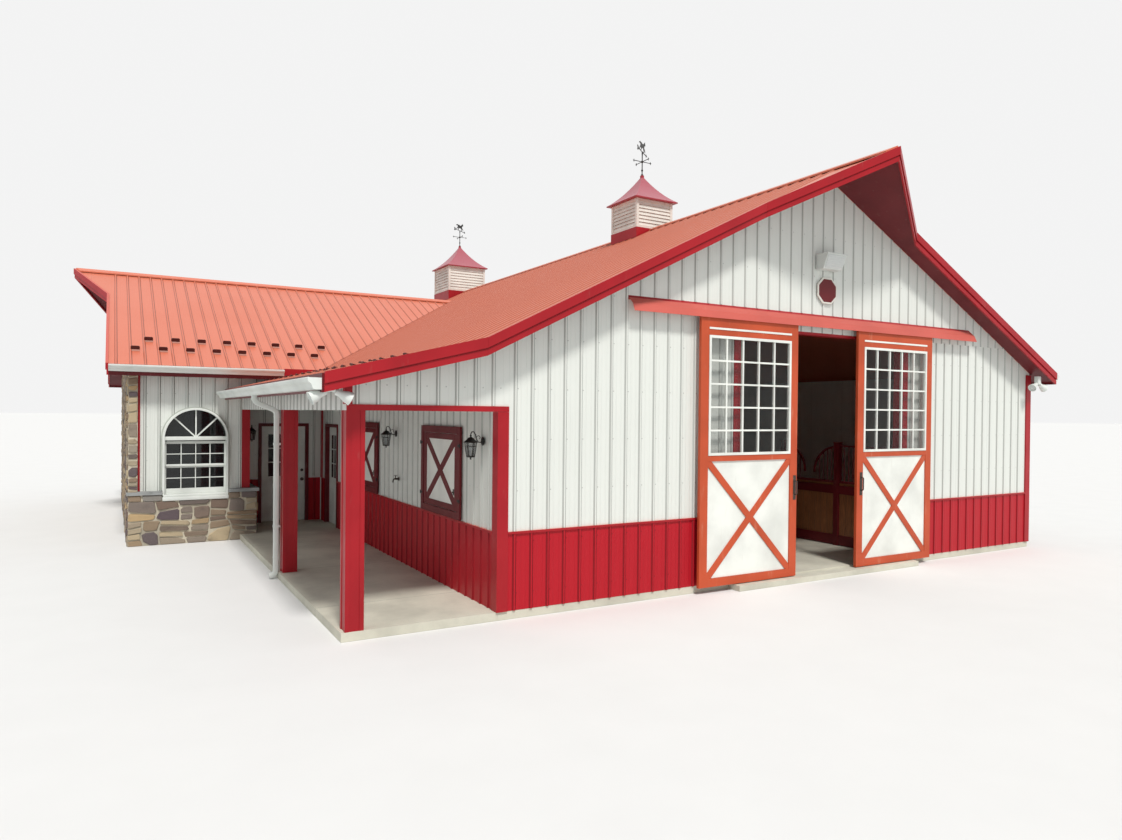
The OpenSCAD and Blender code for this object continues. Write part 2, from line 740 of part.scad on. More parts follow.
module wall_trim() {
    cap = 26;
    color(trim_red) {
        corner(0, 0, 0, floor_z, porch_head_z - seam);
        translate([-porch_w - 22, -22, porch_head_z + 66]) cube([82, 22, 218]);
        translate([-porch_w - 22, 0, porch_head_z + 66]) cube([22, 60, 218]);
        corner(barn_w, 0, 90, floor_z, wall_top - 32);
        corner(barn_w, barn_l, 180, floor_z, wall_top - 32);
        corner(0, barn_l, 270, floor_z, wall_top - 32);
        corner(wing_corner_x, wing_y, 90, 972, porch_head_z);
        block([wing_x + wall_t, wing_y - 22, 972], [wing_x + wall_t + 40, wing_y, wing_wall_top - 24]);
        block([-porch_w, -22, porch_head_z], [123, 0, porch_head_z + 64]);
        block([125, -cap, wainscot_z], [doorway_x - 82, 0, wainscot_z + 28]);
        block([doorway_end + 82, -cap, wainscot_z], [barn_w - 125, 0, wainscot_z + 28]);
        block([-cap, 125, wainscot_z], [0, side_door_y - jamb_w, wainscot_z + 28]);
        block([barn_w, 125, wainscot_z], [barn_w + cap, barn_l - 125, wainscot_z + 28]);
        block([125, barn_l, wainscot_z], [barn_w - 125, barn_l + cap, wainscot_z + 28]);
        block([-22, entry_y - 150, wainscot_z], [0, entry_y - 22, 2870]);
    }
}

// Sliding doors and what they hang from
module doorway_trim()
    color(trim_red) {
        block([doorway_x - 80, -22, floor_z], [doorway_x + 40, 0, door_head_z]);
        block([doorway_x, 0, floor_z], [doorway_x + 40, wall_t + 12, door_head_z - 40]);
        block([doorway_end - 40, -22, floor_z], [doorway_end + 80, 0, door_head_z]);
        block([doorway_end - 40, 0, floor_z], [doorway_end, wall_t + 12, door_head_z - 40]);
        block([doorway_x, 0, door_head_z - 40], [doorway_end, wall_t + 12, door_head_z]);
    }

module track_cover()
    color(trim_red)
        translate([0, 0, cover_z])
            seen_side([[0, 0], [-116, -116], [-159, -214], [-155, -216],
                       [-112, -118], [-4, -10], [-4, -57], [0, -57]],
                      cover_x, cover_end);

// The outline of a leaf's opening for its window or lower panel
module leaf_hole(z, h)
    block([stile_w, leaf_front - 1, z], [leaf_w - stile_w, leaf_back + 1, z + h]);

module brace(w, h, wide) {
    angle = atan2(h, w);
    for (turn = [angle, -angle])
        rotate([0, turn, 0]) cube([2 * sqrt(w * w + h * h), leaf_t, wide], center = true);
}

module door_frame() {
    mid_z = leaf_panel_z + leaf_panel_h / 2;
    color(door_red) {
        difference() {
            block([0, leaf_front, leaf_bottom], [leaf_w, leaf_back, leaf_top]);
            leaf_hole(leaf_window_z, leaf_window_h);
            leaf_hole(leaf_panel_z, leaf_panel_h);
        }
        intersection() {
            translate([leaf_w / 2, leaf_front + leaf_t / 2, mid_z])
                brace((leaf_w - 2 * stile_w) / 2, leaf_panel_h / 2, 95);
            block([stile_w - 1, leaf_front + 4, leaf_panel_z - 1],
                  [leaf_w - stile_w + 1, leaf_front + 16, leaf_panel_z + leaf_panel_h + 1]);
        }
    }
}

// Places the panes of a leaf's window, five across and five up
module each_pane(edge, bar) {
    pane_w = (leaf_w - 2 * stile_w - 2 * edge - 4 * bar) / 5;
    pane_h = (leaf_window_h - 2 * edge - 4 * bar) / 5;
    for (i = [0:4], k = [0:4])
        translate([stile_w + edge + i * (pane_w + bar), 0,
                   leaf_window_z + edge + k * (pane_h + bar)])
            linear_extrude(pane_h) children();
}

module pane_plan(y0, y1) {
    pane_w = (leaf_w - 2 * stile_w - 2 * sash_edge - 4 * sash_bar) / 5;
    translate([0, y0]) square([pane_w, y1 - y0]);
}

module door_infill()
    color(sash_white) {
        block([stile_w + seam, leaf_front + 18, leaf_panel_z + seam],
              [leaf_w - stile_w - seam, leaf_back - 2, leaf_panel_z + leaf_panel_h - seam]);
        block([stile_w, leaf_front - 7, leaf_top - 172], [leaf_w - stile_w, leaf_front, leaf_top - 145]);
        difference() {
            union() {
                block([stile_w + seam, leaf_front - 8, leaf_window_z + seam],
                      [leaf_w - stile_w - seam, leaf_back - 6,
                       leaf_window_z + leaf_window_h - seam]);
            }
            block([stile_w + sash_edge, leaf_front - 9, leaf_window_z + sash_edge],
                  [leaf_w - stile_w - sash_edge, leaf_front + 4,
                   leaf_window_z + leaf_window_h - sash_edge]);
            each_pane(sash_edge, sash_bar) pane_plan(leaf_front - 10, leaf_back + 1);
        }
    }

module door_glass()
    color(glass_grey)
        each_pane(sash_edge, sash_bar) pane_plan(leaf_front + 20, leaf_front + 25);

module left_door_frame() translate([left_leaf_x, 0, 0]) door_frame();

module left_door_infill() translate([left_leaf_x, 0, 0]) door_infill();

module left_door_glass() translate([left_leaf_x, 0, 0]) door_glass();

module right_door_frame() translate([right_leaf_x, 0, 0]) door_frame();

module right_door_infill() translate([right_leaf_x, 0, 0]) door_infill();

module right_door_glass() translate([right_leaf_x, 0, 0]) door_glass();

// Entry doors under the porch: two sunk panels, a place for glass and three hinge knuckles
module entry_leaf() {
    width = entry_w - 2 * entry_gap;
    knuckle_r = 7;
    color(sash_white) {
        difference() {
            block([0, 0, floor_z + 8], [width, entry_leaf_t, entry_head_z - entry_gap]);
            for (x = [120, width / 2 + 25])
                translate([x, -1, floor_z + 190]) cube([width / 2 - 145, 9, 620]);
            translate([150, -1, floor_z + 960]) cube([width - 300, 13, 890]);
        }
        for (z = [260, 1060, 1860])
            translate([0, entry_leaf_t, z]) cylinder(r = knuckle_r, h = 100);
    }
}

module wing_entry_door()
    translate([wing_door_x + entry_gap, entry_y + entry_leaf_y, 0]) entry_leaf();

module side_entry_door()
    translate([entry_leaf_y, side_door_y + entry_w - entry_gap, 0]) rotate([0, 0, -90])
        entry_leaf();

module entry_frame()
    difference() {
        block([-jamb_w, -24, floor_z], [entry_w + jamb_w, wall_t, entry_head_z + jamb_w]);
        block([0, entry_leaf_y - 5, floor_z - 1], [entry_w, wall_t + 1, entry_head_z]);
        block([entry_stop, -25, floor_z - 1],
              [entry_w - entry_stop, wall_t, entry_head_z - entry_stop]);
    }

module entry_door_frames()
    color(maroon) {
        translate([wing_door_x, entry_y, 0]) entry_frame();
        translate([0, side_door_y + entry_w, 0]) rotate([0, 0, -90]) entry_frame();
    }

// Two closed shutter windows on the wall under the porch: frames with a cross, over pale panels
module at_shutters() {
    for (y = [1060, 4660])
        translate([-rib_h - 1, y, wainscot_z + 40]) children();
}

module shutter_frame(w, h, rail) {
    difference() {
        block([-34, 0, 0], [-1, w, h]);
        block([-40, rail, rail], [1, w - rail, h - rail]);
    }
    intersection() {
        translate([-24, w / 2, h / 2])
            for (turn = [atan2(h, w), -atan2(h, w)])
                rotate([turn, 0, 0]) cube([12, 3 * w, 60], center = true);
        block([-40, rail - 10, rail - 10], [-10, w - rail + 10, h - rail + 10]);
    }
}

module shutter_windows()
    color(maroon) at_shutters() shutter_frame(shutter_w, shutter_h, shutter_rail);

module shutter_panels()
    color(sash_white) at_shutters()
        block([-16, shutter_rail + seam, shutter_rail + seam],
              [-2, shutter_w - shutter_rail - seam, shutter_h - shutter_rail - seam]);

// Half-round window of the wing
module arch_panes() {
    bar = 20;
    in_r = window_r - 58;
    fan_z = window_spring_z + 30;
    cell_w = (2 * in_r - 3 * bar) / 4;
    difference() {
        translate([window_x, fan_z]) circle(r = in_r);
        translate([window_x - window_r, fan_z - window_r]) square([2 * window_r, window_r]);
        for (turn = [45, 90, 135])
            translate([window_x, fan_z]) rotate(turn) translate([-1, -bar / 2])
                square([window_r, bar]);
    }
    for (sash = [[window_sill_z + 190, 1390], [1425, window_spring_z - 35]], i = [0:3], k = [0:1]) {
        cell_h = (sash[1] - sash[0] - bar) / 2;
        translate([window_x - in_r + i * (cell_w + bar), sash[0] + k * (cell_h + bar)])
            square([cell_w, cell_h]);
    }
}

module arched_window_frame()
    color(sash_white) {
        translate([0, wing_y + 90, 0]) rotate([90, 0, 0]) linear_extrude(130)
            difference() {
                arch_shape(-2);
                arch_panes();
            }
        block([window_x - window_r + 4, wing_y - 165, window_sill_z + 2],
              [window_x + window_r - 4, wing_y - 38, window_sill_z + 85]);
    }

module arched_window_glass()
    color(glass_grey) translate([0, wing_y + 97, 0]) rotate([90, 0, 0]) linear_extrude(5)
        arch_shape(-40);

// Cupolas
module each_cupola() {
    translate([ridge_x, cupola_a_y, 0]) children(0);
    translate([ridge_x, cupola_b_y, 0]) children(1);
}

module cupola_base(w)
    block([-w / 2, -w / 2, ridge_z - 20 - pitch * w / 2 - 40], [w / 2, w / 2, ridge_z - 20]);

module cupola_bases()
    color(trim_red) difference() {
        each_cupola() {
            cupola_base(cupola_a_w);
            cupola_base(cupola_b_w);
        }
        under_main_roof(1);
    }

// A louvred box: four corner posts, a sill and head, and blades that hide the inside
module cupola_louvre(w, h, count) {
    post = 58;
    sill = 42;
    step = (h - 2 * sill) / count;
    translate([0, 0, ridge_z - 20]) {
        for (x = [-1, 1], y = [-1, 1])
            translate([x * (w - post) / 2, y * (w - post) / 2, h / 2])
                cube([post, post, h], center = true);
        for (z = [0, h - sill])
            translate([-w / 2 + 8, -w / 2 + 8, z]) cube([w - 16, w - 16, sill]);
        for (turn = [0, 90, 180, 270])
            rotate([0, 0, turn])
                for (i = [0:count - 1])
                    translate([-w / 2 + post - 5, -w / 2 + 6, sill + i * step])
                        rotate([90, 0, 90]) linear_extrude(w - 2 * post + 10)
                            polygon([[0, 0], [9, 0], [31, step + 4], [22, step + 4]]);
    }
}

module cupola_louvres()
    color(siding_white) difference() {
        each_cupola() {
            cupola_louvre(cupola_a_w - 8, 580, 7);
            cupola_louvre(cupola_b_w - 8, 750, 8);
        }
        under_main_roof(2);
    }

// Flared roof of a cupola: two crossing profiles, both hollowed towards the eave
function flare(half, rise, n) =
    [for (i = [0:n]) [half * (1 - i / n), rise * (0.55 * i / n + 0.45 * pow(i / n, 2))]];

module flared_profile(half, rise)
    polygon(concat([[-half, -22], [half, -22]], flare(half, rise, 8),
                   [for (p = [for (i = [7:-1:0]) flare(half, rise, 8)[i]]) [-p[0], p[1]]]));

module cupola_roof(half, rise, z)
    translate([0, 0, z + 22]) {
        intersection() {
            translate([0, half, 0]) rotate([90, 0, 0]) linear_extrude(2 * half)
                flared_profile(half, rise);
            translate([-half, 0, 0]) rotate([90, 0, 90]) linear_extrude(2 * half)
                flared_profile(half, rise);
        }
        block([-30, -30, rise - 70], [30, 30, rise]);
    }

module cupola_roofs()
    color(trim_red) each_cupola() {
        cupola_roof(cupola_a_w / 2 + 72, 600, ridge_z - 20 + 580);
        cupola_roof(cupola_b_w / 2 + 62, 735, ridge_z - 20 + 750);
    }

// Weathervane: a fixed pole with its four arms, and an arrow with a running horse on its pin
module vane_pole() {
    cylinder(r = 26, h = 24);
    cylinder(r = 11, h = 430);
    translate([0, 0, 429]) cylinder(r = 7, h = 50);
    translate([0, 0, 110]) sphere(r = 22);
    translate([0, 0, 291]) sphere(r = 26);
    for (turn = [0, 90, 180, 270])
        rotate([0, 0, turn]) {
            translate([8, -5, 285]) cube([225, 10, 12]);
            translate([205, -5, 262]) cube([10, 10, 58]);
        }
}

module horse()
    polygon([[168, 148], [150, 178], [140, 200], [130, 182], [98, 168], [62, 138], [10, 126],
             [-55, 138], [-86, 128], [-120, 138], [-172, 118], [-188, 92], [-150, 104],
             [-104, 100], [-104, 74], [-140, 48], [-168, 10], [-186, 2], [-182, -8],
             [-158, -2], [-124, 34], [-86, 52], [-70, 30], [-96, -2], [-88, -12], [-72, -6],
             [-48, 30], [-30, 58], [34, 58], [62, 52], [84, 22], [64, -4], [74, -12],
             [90, -8], [104, 24], [92, 56], [128, 52], [150, 24], [166, 22], [146, 62],
             [108, 78], [104, 100], [120, 128], [140, 132], [158, 134]]);

module weathervane() {
    rod_z = 488;
    difference() {
        translate([0, 0, 432]) cylinder(r = 14, h = 70);
        translate([0, 0, 431]) cylinder(r = 7.06, h = 50);
    }
    translate([-330, -5, rod_z]) cube([600, 10, 14]);
    translate([0, 4, rod_z + 7]) rotate([90, 0, 0]) linear_extrude(8) {
        translate([0, 14]) scale(1.22) horse();
        polygon([[262, -34], [340, 0], [262, 34]]);
        polygon([[-352, -46], [-292, -46], [-252, -6], [-252, 6], [-292, 46], [-352, 46],
                 [-316, 0]]);
    }
}

module at_vane_a()
    translate([ridge_x, cupola_a_y, cupola_a_z]) children();

module at_vane_b()
    translate([ridge_x, cupola_b_y, cupola_b_z]) children();

module vane_poles()
    color("#2f3336") {
        at_vane_a() vane_pole();
        at_vane_b() vane_pole();
    }

module front_weathervane()
    color("#2f3336") at_vane_a() rotate(vane_turn) weathervane();

module rear_weathervane()
    color("#2f3336") at_vane_b() rotate(vane_turn) weathervane();

// The stall fronts that show through the doorway: boards, posts and rails with round bars
function stall_post_y(i) = [180, 1330, 2630][i];

module stall_front()
    color("#7a3f22")
        for (i = [0:1])
            block([stall_x - 10, stall_post_y(i) + stall_post + seam, floor_z + 16],
                  [stall_x + 30, stall_post_y(i + 1) - seam, 1234]);

module stall_bars(y, y_end, curved) {
    count = floor((y_end - y) / 92);
    gap = (y_end - y) / count;
    for (i = [1:count - 1]) {
        near = min(i, count - i) * gap;
        top = curved ? stall_curve_z + sqrt(max(0, pow(stall_curve_r, 2) - near * near)) : 1906;
        if (!curved || near < stall_curve_r - 40)
            translate([stall_x, y + i * gap, 1262]) cylinder(r = 8, h = top - 1262 - (curved ? 8 : 0));
    }
}

module stall_arc(y, z)
    seen_side_shape(stall_x - 14, stall_x + 14) intersection() {
        difference() {
            translate([y, z]) circle(r = stall_curve_r);
            translate([y, z]) circle(r = stall_curve_r - 28);
        }
        translate([y - 600, z]) square([1200, 600]);
    }

module seen_side_shape(x0, x1)
    translate([x0, 0, 0]) rotate([90, 0, 90]) linear_extrude(x1 - x0) children();

module stall_grille()
    color(maroon) {
        for (i = [0:2])
            translate([stall_x - 50, stall_post_y(i), floor_z]) {
                cube([100, stall_post, 1860]);
                translate([-8, -8, 1860]) cube([116, stall_post + 16, 20]);
            }
        for (i = [0:1])
            for (band = [[116, 290], [1040, 1190], [1236, 1275]])
                block([stall_x - 40, stall_post_y(i) + stall_post - 1, band[0]],
                      [stall_x - (band[0] > 1200 ? -30 : 12), stall_post_y(i + 1) + 1, band[1]]);
        block([stall_x - 14, stall_post_y(0) + stall_post - 1, 1895],
              [stall_x + 14, stall_post_y(1) + 1, 1925]);
        stall_bars(stall_post_y(0) + stall_post, stall_post_y(1), false);
        stall_bars(stall_post_y(1) + stall_post, stall_post_y(2), true);
        intersection() {
            union() {
                stall_arc(stall_post_y(1) + stall_post, stall_curve_z);
                stall_arc(stall_post_y(2), stall_curve_z);
            }
            block([stall_x - 50, stall_post_y(1) + stall_post - 1, 1270],
                  [stall_x + 50, stall_post_y(2) + 1, 2100]);
        }
    }

// Coach lantern on a wall plate, drawn facing -Y
module lantern() {
    reach = 140;
    translate([0, -reach, 0]) {
        cylinder(r1 = 12, r2 = 34, h = 30);
        translate([0, 0, 30]) cylinder(r = 58, h = 12);
        translate([0, 0, 42]) cylinder(r1 = 44, r2 = 62, h = 178);
        translate([0, 0, 220]) cylinder(r1 = 82, r2 = 26, h = 62);
        translate([0, 0, 282]) cylinder(r = 10, h = 40);
    }
    block([-35, -rib_gap - 12, 90], [35, -rib_gap, 330]);
    block([-7, -reach, 300], [7, -rib_gap - 6, 314]);
}

module porch_lanterns()
    color("#1d1c1b") {
        for (y = [407, 3740])
            facing_left(0, y) translate([0, 0, 1890]) lantern();
        translate([-1444, entry_y, 1820]) lantern();
    }

module bell(turn)
    rotate([0, turn, 0]) translate([0, 0, -160]) cylinder(r1 = 85, r2 = 24, h = 150);

module flood_pair(drop) {
    translate([-45, -35, -60 - drop]) cube([90, 70, 60 + drop]);
    for (side = [-1, 1])
        translate([side * 38, 0, -35 - drop]) bell(-side * 60);
}

// Wall light under the ridge: a wedge that leans out towards its top, under a thin hood
light_z = 4675;
module gable_light() {
    seen_side([[-rib_gap, light_z], [-rib_gap, light_z + 220], [-250, light_z + 220],
               [-160, light_z]], 5290, 5700);
    block([5280, -262, light_z + 218], [5710, -rib_gap, light_z + 230]);
}

module floodlights()
    color(gutter_white) {
        translate([-2045, -200, main_z(-2090) - roof_t - sheet - 1]) flood_pair(70);
        translate([barn_w - 90, -200, main_z(barn_w - 45) - roof_t - sheet - 1]) flood_pair(140);
        gable_light();
    }

floor_slab();
porch_slab();
door_sill();
front_wall();
front_gable_wall();
porch_header();
left_wall();
right_wall();
rear_wall();
wing_front_wall();
entry_wall();
wing_gable_wall();
wing_rear_wall();
stone_wainscot();
stone_ledge();
main_roof_left();
main_roof_right();
porch_roof();
wing_roof_front();
wing_roof_rear();
ridge_caps();
rake_trim();
eave_trim();
soffits();
gutters();
downspout();
porch_posts();
porch_beam();
wainscot();
wall_trim();
doorway_trim();
track_cover();
left_door_frame();
left_door_infill();
left_door_glass();
right_door_frame();
right_door_infill();
right_door_glass();
side_entry_door();
wing_entry_door();
entry_door_frames();
shutter_windows();
shutter_panels();
arched_window_frame();
arched_window_glass();
cupola_bases();
cupola_louvres();
cupola_roofs();
vane_poles();
front_weathervane();
rear_weathervane();
stall_front();
stall_grille();
porch_lanterns();
floodlights();
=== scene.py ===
"""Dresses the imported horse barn: finishes for its metal, stone, doors and glass, and the small
pieces fixed to it."""

import random
from math import atan, cos, hypot, pi, radians, sin, sqrt, tau

import bpy
from bmesh import new as new_bmesh, ops
from bmesh.types import BMFace, BMVert
from bpy.props import FloatProperty, FloatVectorProperty, IntProperty, PointerProperty
from bpy.types import Operator, Panel, PropertyGroup
from mathutils import Matrix, Vector, noise


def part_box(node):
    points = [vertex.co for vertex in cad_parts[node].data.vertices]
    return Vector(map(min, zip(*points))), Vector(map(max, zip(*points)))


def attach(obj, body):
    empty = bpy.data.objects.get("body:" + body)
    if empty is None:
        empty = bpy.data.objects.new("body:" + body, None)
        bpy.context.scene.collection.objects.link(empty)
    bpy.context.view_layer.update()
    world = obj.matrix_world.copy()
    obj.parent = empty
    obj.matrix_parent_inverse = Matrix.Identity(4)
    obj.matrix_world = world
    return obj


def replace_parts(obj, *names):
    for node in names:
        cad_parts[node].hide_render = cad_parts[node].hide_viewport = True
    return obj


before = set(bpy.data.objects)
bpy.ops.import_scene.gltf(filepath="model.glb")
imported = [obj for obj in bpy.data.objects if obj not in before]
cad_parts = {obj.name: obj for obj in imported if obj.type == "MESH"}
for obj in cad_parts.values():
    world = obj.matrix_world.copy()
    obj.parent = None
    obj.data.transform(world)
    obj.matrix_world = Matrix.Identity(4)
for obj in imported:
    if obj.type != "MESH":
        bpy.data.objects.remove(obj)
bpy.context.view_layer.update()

bl_info = {
    "name": "Horse Barn",
    "version": (1, 0, 0),
    "blender": (4, 5, 0),
    "location": "3D View > Sidebar > Barn",
    "description": "Finishes and small parts of a metal-clad horse barn with a stone wing",
    "category": "Object",
}

X, Y, Z = Vector((1, 0, 0)), Vector((0, 1, 0)), Vector((0, 0, 1))
QUARTER = radians(90)

# The photograph's camera, fitted in the barn's frame
CAMERA_PLACE = Vector((-3.929, -8.191, 2.457))
CAMERA_YAW, CAMERA_PITCH, CAMERA_ROLL = map(radians, (30.236, -0.508, 0.562))
SENSOR_WIDTH = 36.0
FOCAL_PIXELS, PHOTO_PIXELS = 769.5, 1122
FOCAL_LENGTH = SENSOR_WIDTH * FOCAL_PIXELS / PHOTO_PIXELS

# Studio
FLOOR_PLACE, FLOOR_RADIUS = (4, 9, -0.002), 450
SKY_COLOUR, SKY_LIGHT, SKY_SEEN = (0.94, 0.97, 1.0), 0.56, 0.9
SUN_HEIGHT, SUN_ENERGY, SUN_COLOUR = radians(57), 2.7, (1.0, 0.975, 0.94)

# Distances at which ribs, screws, slab joints and stall boards repeat
RIB_PITCH, SCREW_PITCH, SLAB_PITCH, BOARD_PITCH = 0.2286, 0.61, 2.4, 0.14

# Roofs: slopes are rises over runs
WING_SLOPE, PORCH_SLOPE = 0.5, 0.25
SLOPE_LENGTH = hypot(1 / WING_SLOPE, 1)
ROOF_DEPTH = 0.15
PORCH_TOP_X, PORCH_TOP_Z = -0.305, 3.292
# How far the guards' sheets lie below the ridge's line, and the porch guards' share of the size
GUARD_DROP, PORCH_GUARD_SHARE = 0.016, 0.52
STRAP_PITCH = 0.8

# The wing's stone walls
STONE_LEFT, STONE_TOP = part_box("wing_gable_wall")
WAINSCOT_LOW, WAINSCOT_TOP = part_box("stone_wainscot")
WING_RIDGE_Y, WING_RIDGE_Z = (STONE_LEFT.y + STONE_TOP.y) / 2, 5.533
STRIP_WIDTH = 0.15
STRIP_TOP = WING_RIDGE_Z - ROOF_DEPTH - 0.02 - WING_SLOPE * (STONE_TOP.y - STONE_LEFT.y) / 2
ENTRY_WALL_X, STONE_DEPTH = -1.665, 0.13
ENTRY_EDGE_X = ENTRY_WALL_X + STONE_DEPTH
# How deep the stones sit in the wall
STONE_SEAT = 0.004
# Between the two fields that move the stones' corners along and across the wall
WARP_APART = Vector((31.7, 12.9, 5.3))

# The arched window's middle and the height where its head springs, and the shutters' wall
WINDOW_X, WINDOW_SPRING = -2.588, 1.93
SHUTTER_X = -0.018


def colour(name, default, description):
    """A colour that a user would change."""
    return FloatVectorProperty(name=name, description=description, subtype="COLOR",
                               size=3, min=0, max=1, default=default)


def length(name, default, description):
    """A length that a user would change."""
    return FloatProperty(name=name, description=description, default=default,
                         min=0, unit="LENGTH", precision=4)


def count(name, default, description):
    """A number of pieces that a user would change."""
    return IntProperty(name=name, description=description, default=default, min=0)


class BarnColours(PropertyGroup):
    """Colours of the finishes."""

    siding: colour("Siding", (0.72, 0.745, 0.7), "Ribbed wall sheets above the wainscot")
    roofing: colour("Roofing", (0.62, 0.17, 0.098), "Ribbed roof sheets")
    trim: colour("Trim", (0.37, 0.012, 0.019), "Rakes, posts, corners and wainscot")
    wainscot: colour("Wainscot", (0.44, 0.01, 0.02), "Ribbed sheets at the foot of the walls")
    # maroon also covers the eave trim, where it is painted shade on red fascia
    maroon: colour("Maroon", (0.135, 0.012, 0.016), "Soffits, shutters and entry frames")
    gutter: colour("Gutter", (0.7, 0.74, 0.705), "Gutters, downspout and lamps")
    door: colour("Door frames", (0.52, 0.082, 0.03), "Painted frames of the sliding doors")
    sash: colour("Sash", (0.8, 0.82, 0.77), "Door panels and window frames")
    iron: colour("Iron", (0.018, 0.017, 0.016), "Lanterns, vanes and door hardware")
    concrete: colour("Concrete", (0.62, 0.6, 0.5), "Slabs and sill")
    mortar: colour("Mortar", (0.55, 0.5, 0.39), "Joints between the stones")
    wood: colour("Stall boards", (0.3, 0.115, 0.045), "Varnished boards of the stalls")
    guard: colour("Snow guards", (0.09, 0.022, 0.02), "Guards on the roof")


class BarnSizes(PropertyGroup):
    """Sizes of the pieces that Blender adds."""

    stone_height: length("Stone height", 0.175, "Typical height of a fieldstone")
    stone_width: length("Stone width", 0.42, "Typical width of a fieldstone")
    joint: length("Joint", 0.018, "Width of a mortar joint")
    relief: length("Relief", 0.022, "How far the stones stand out of the mortar")
    guard_pitch: length("Guard pitch", 0.4572, "Distance between two snow guards of a row")
    guard_width: length("Guard width", 0.15, "Width of a snow guard")
    guard_height: length("Guard height", 0.078, "Height of a snow guard")
    wing_guards: count("Guards on the wing", 8, "Snow guards in each row of the wing's roof")
    porch_guards: count("Guards on the porch", 16, "Snow guards in each row of the porch's roof")
    sun_angle: FloatProperty(name="Sun size", description="Angle that the key light fills",
                             default=radians(9), subtype="ANGLE")


# Shader maths


class Value:
    """A socket of a material on which Python's operators work."""

    def __init__(self, shader, socket):
        self.shader = shader
        self.socket = socket

    def math(self, operation, *others):
        return self.shader.node("ShaderNodeMath", {"operation": operation}, self, *others)

    def __abs__(self):
        return self.math("ABSOLUTE")

    def ease(self, low, high):
        """0 below low, 1 above high and a smooth rise between them."""
        return self.shader.node("ShaderNodeMapRange",
                                {"interpolation_type": "SMOOTHSTEP", "clamp": True},
                                self, low, high, 0.0, 1.0)


def add_operators(name, operation):
    """Gives Value one of Python's operators and its reflected form."""
    setattr(Value, f"__{name}__", lambda self, other: self.math(operation, other))
    setattr(Value, f"__r{name}__", lambda self, other: self.shader.node(
        "ShaderNodeMath", {"operation": operation}, other, self))


for python_name, node_name in (("add", "ADD"), ("sub", "SUBTRACT"), ("mul", "MULTIPLY"),
                               ("truediv", "DIVIDE")):
    add_operators(python_name, node_name)


class Shader:
    """The node tree of one material or world."""

    def __init__(self, name, group="materials", output="ShaderNodeOutputMaterial"):
        self.owner = getattr(bpy.data, group).new(name)
        self.owner.use_nodes = True
        self.tree = self.owner.node_tree
        self.tree.nodes.clear()
        self.output = self.tree.nodes.new(output)

    def node(self, kind, settings=None, *values, out=0, **named):
        """Adds a node: its settings first, then the values or links of its sockets."""
        made = self.tree.nodes.new(kind)
        for key, value in (settings or {}).items():
            setattr(made, key, value)
        pairs = list(zip([s for s in made.inputs if s.enabled], values))
        pairs += [(made.inputs[key.replace("_", " ")], value) for key, value in named.items()]
        for socket, value in pairs:
            self.plug(socket, value)
        return Value(self, made.outputs[out])

    def plug(self, socket, value):
        """Links a value to a socket, or sets the socket to a number or colour."""
        if isinstance(value, Value):
            self.tree.links.new(value.socket, socket)
        elif socket.type == "RGBA":
            socket.default_value = (*value[:3], 1)
        else:
            socket.default_value = value

    def axis(self, letter):
        """One of the object coordinates, in metres."""
        place = self.node("ShaderNodeTexCoord", out="Object")
        return self.node("ShaderNodeSeparateXYZ", None, place, out=letter)

    def facing(self, letter):
        """How far the surface faces along one of the axes, from -1 to 1."""
        normal = self.node("ShaderNodeNewGeometry", out="Normal")
        return self.node("ShaderNodeSeparateXYZ", None, normal, out=letter)

    def noise(self, scale, detail, stretch=(1, 1, 1), roughness=0.5):
        """A noise over the object coordinates, which are stretched first."""
        place = self.node("ShaderNodeTexCoord", out="Object")
        place = self.node("ShaderNodeMapping", None, Vector=place, Scale=stretch)
        return self.node("ShaderNodeTexNoise", None, Vector=place, Scale=scale, Detail=detail,
                         Roughness=roughness)

    def ramp(self, value, *stops):
        """Colours that follow a value, from (place, colour) pairs."""
        made = self.node("ShaderNodeValToRGB", None, value)
        elements = made.socket.node.color_ramp.elements
        while len(elements) < len(stops):
            elements.new(0.5)
        for element, (place, shade) in zip(elements, stops):
            element.position = place
            element.color = (*shade, 1)
        return made

    def clouded(self, mask, shade, light, dark):
        """A colour that goes from a lighter to a darker tone with a mask."""
        return self.mix(mask, tint(shade, light), tint(shade, dark))

    def mix(self, factor, first, second):
        """A colour mixed from two."""
        made = self.tree.nodes.new("ShaderNodeMix")
        made.data_type = "RGBA"
        for index, value in ((0, factor), (6, first), (7, second)):
            self.plug(made.inputs[index], value)
        return Value(self, made.outputs[2])

    def bump(self, height, distance, strength=1.0, **under):
        return self.node("ShaderNodeBump", None, Height=height, Distance=distance,
                         Strength=strength, **under)

    def surface(self, base, rough, height=None, distance=0, strength=1.0, **sockets):
        """Ends the material in a Principled shader whose normals follow a height."""
        if height:
            sockets["Normal"] = self.bump(height, distance, strength)
        made = self.node("ShaderNodeBsdfPrincipled", None, Base_Color=base, Roughness=rough,
                         **sockets)
        self.plug(self.output.inputs["Surface"], made)
        return self.owner


def tint(shade, factor):
    """A colour made lighter or darker."""
    return tuple(min(1.0, c * factor) for c in shade[:3])
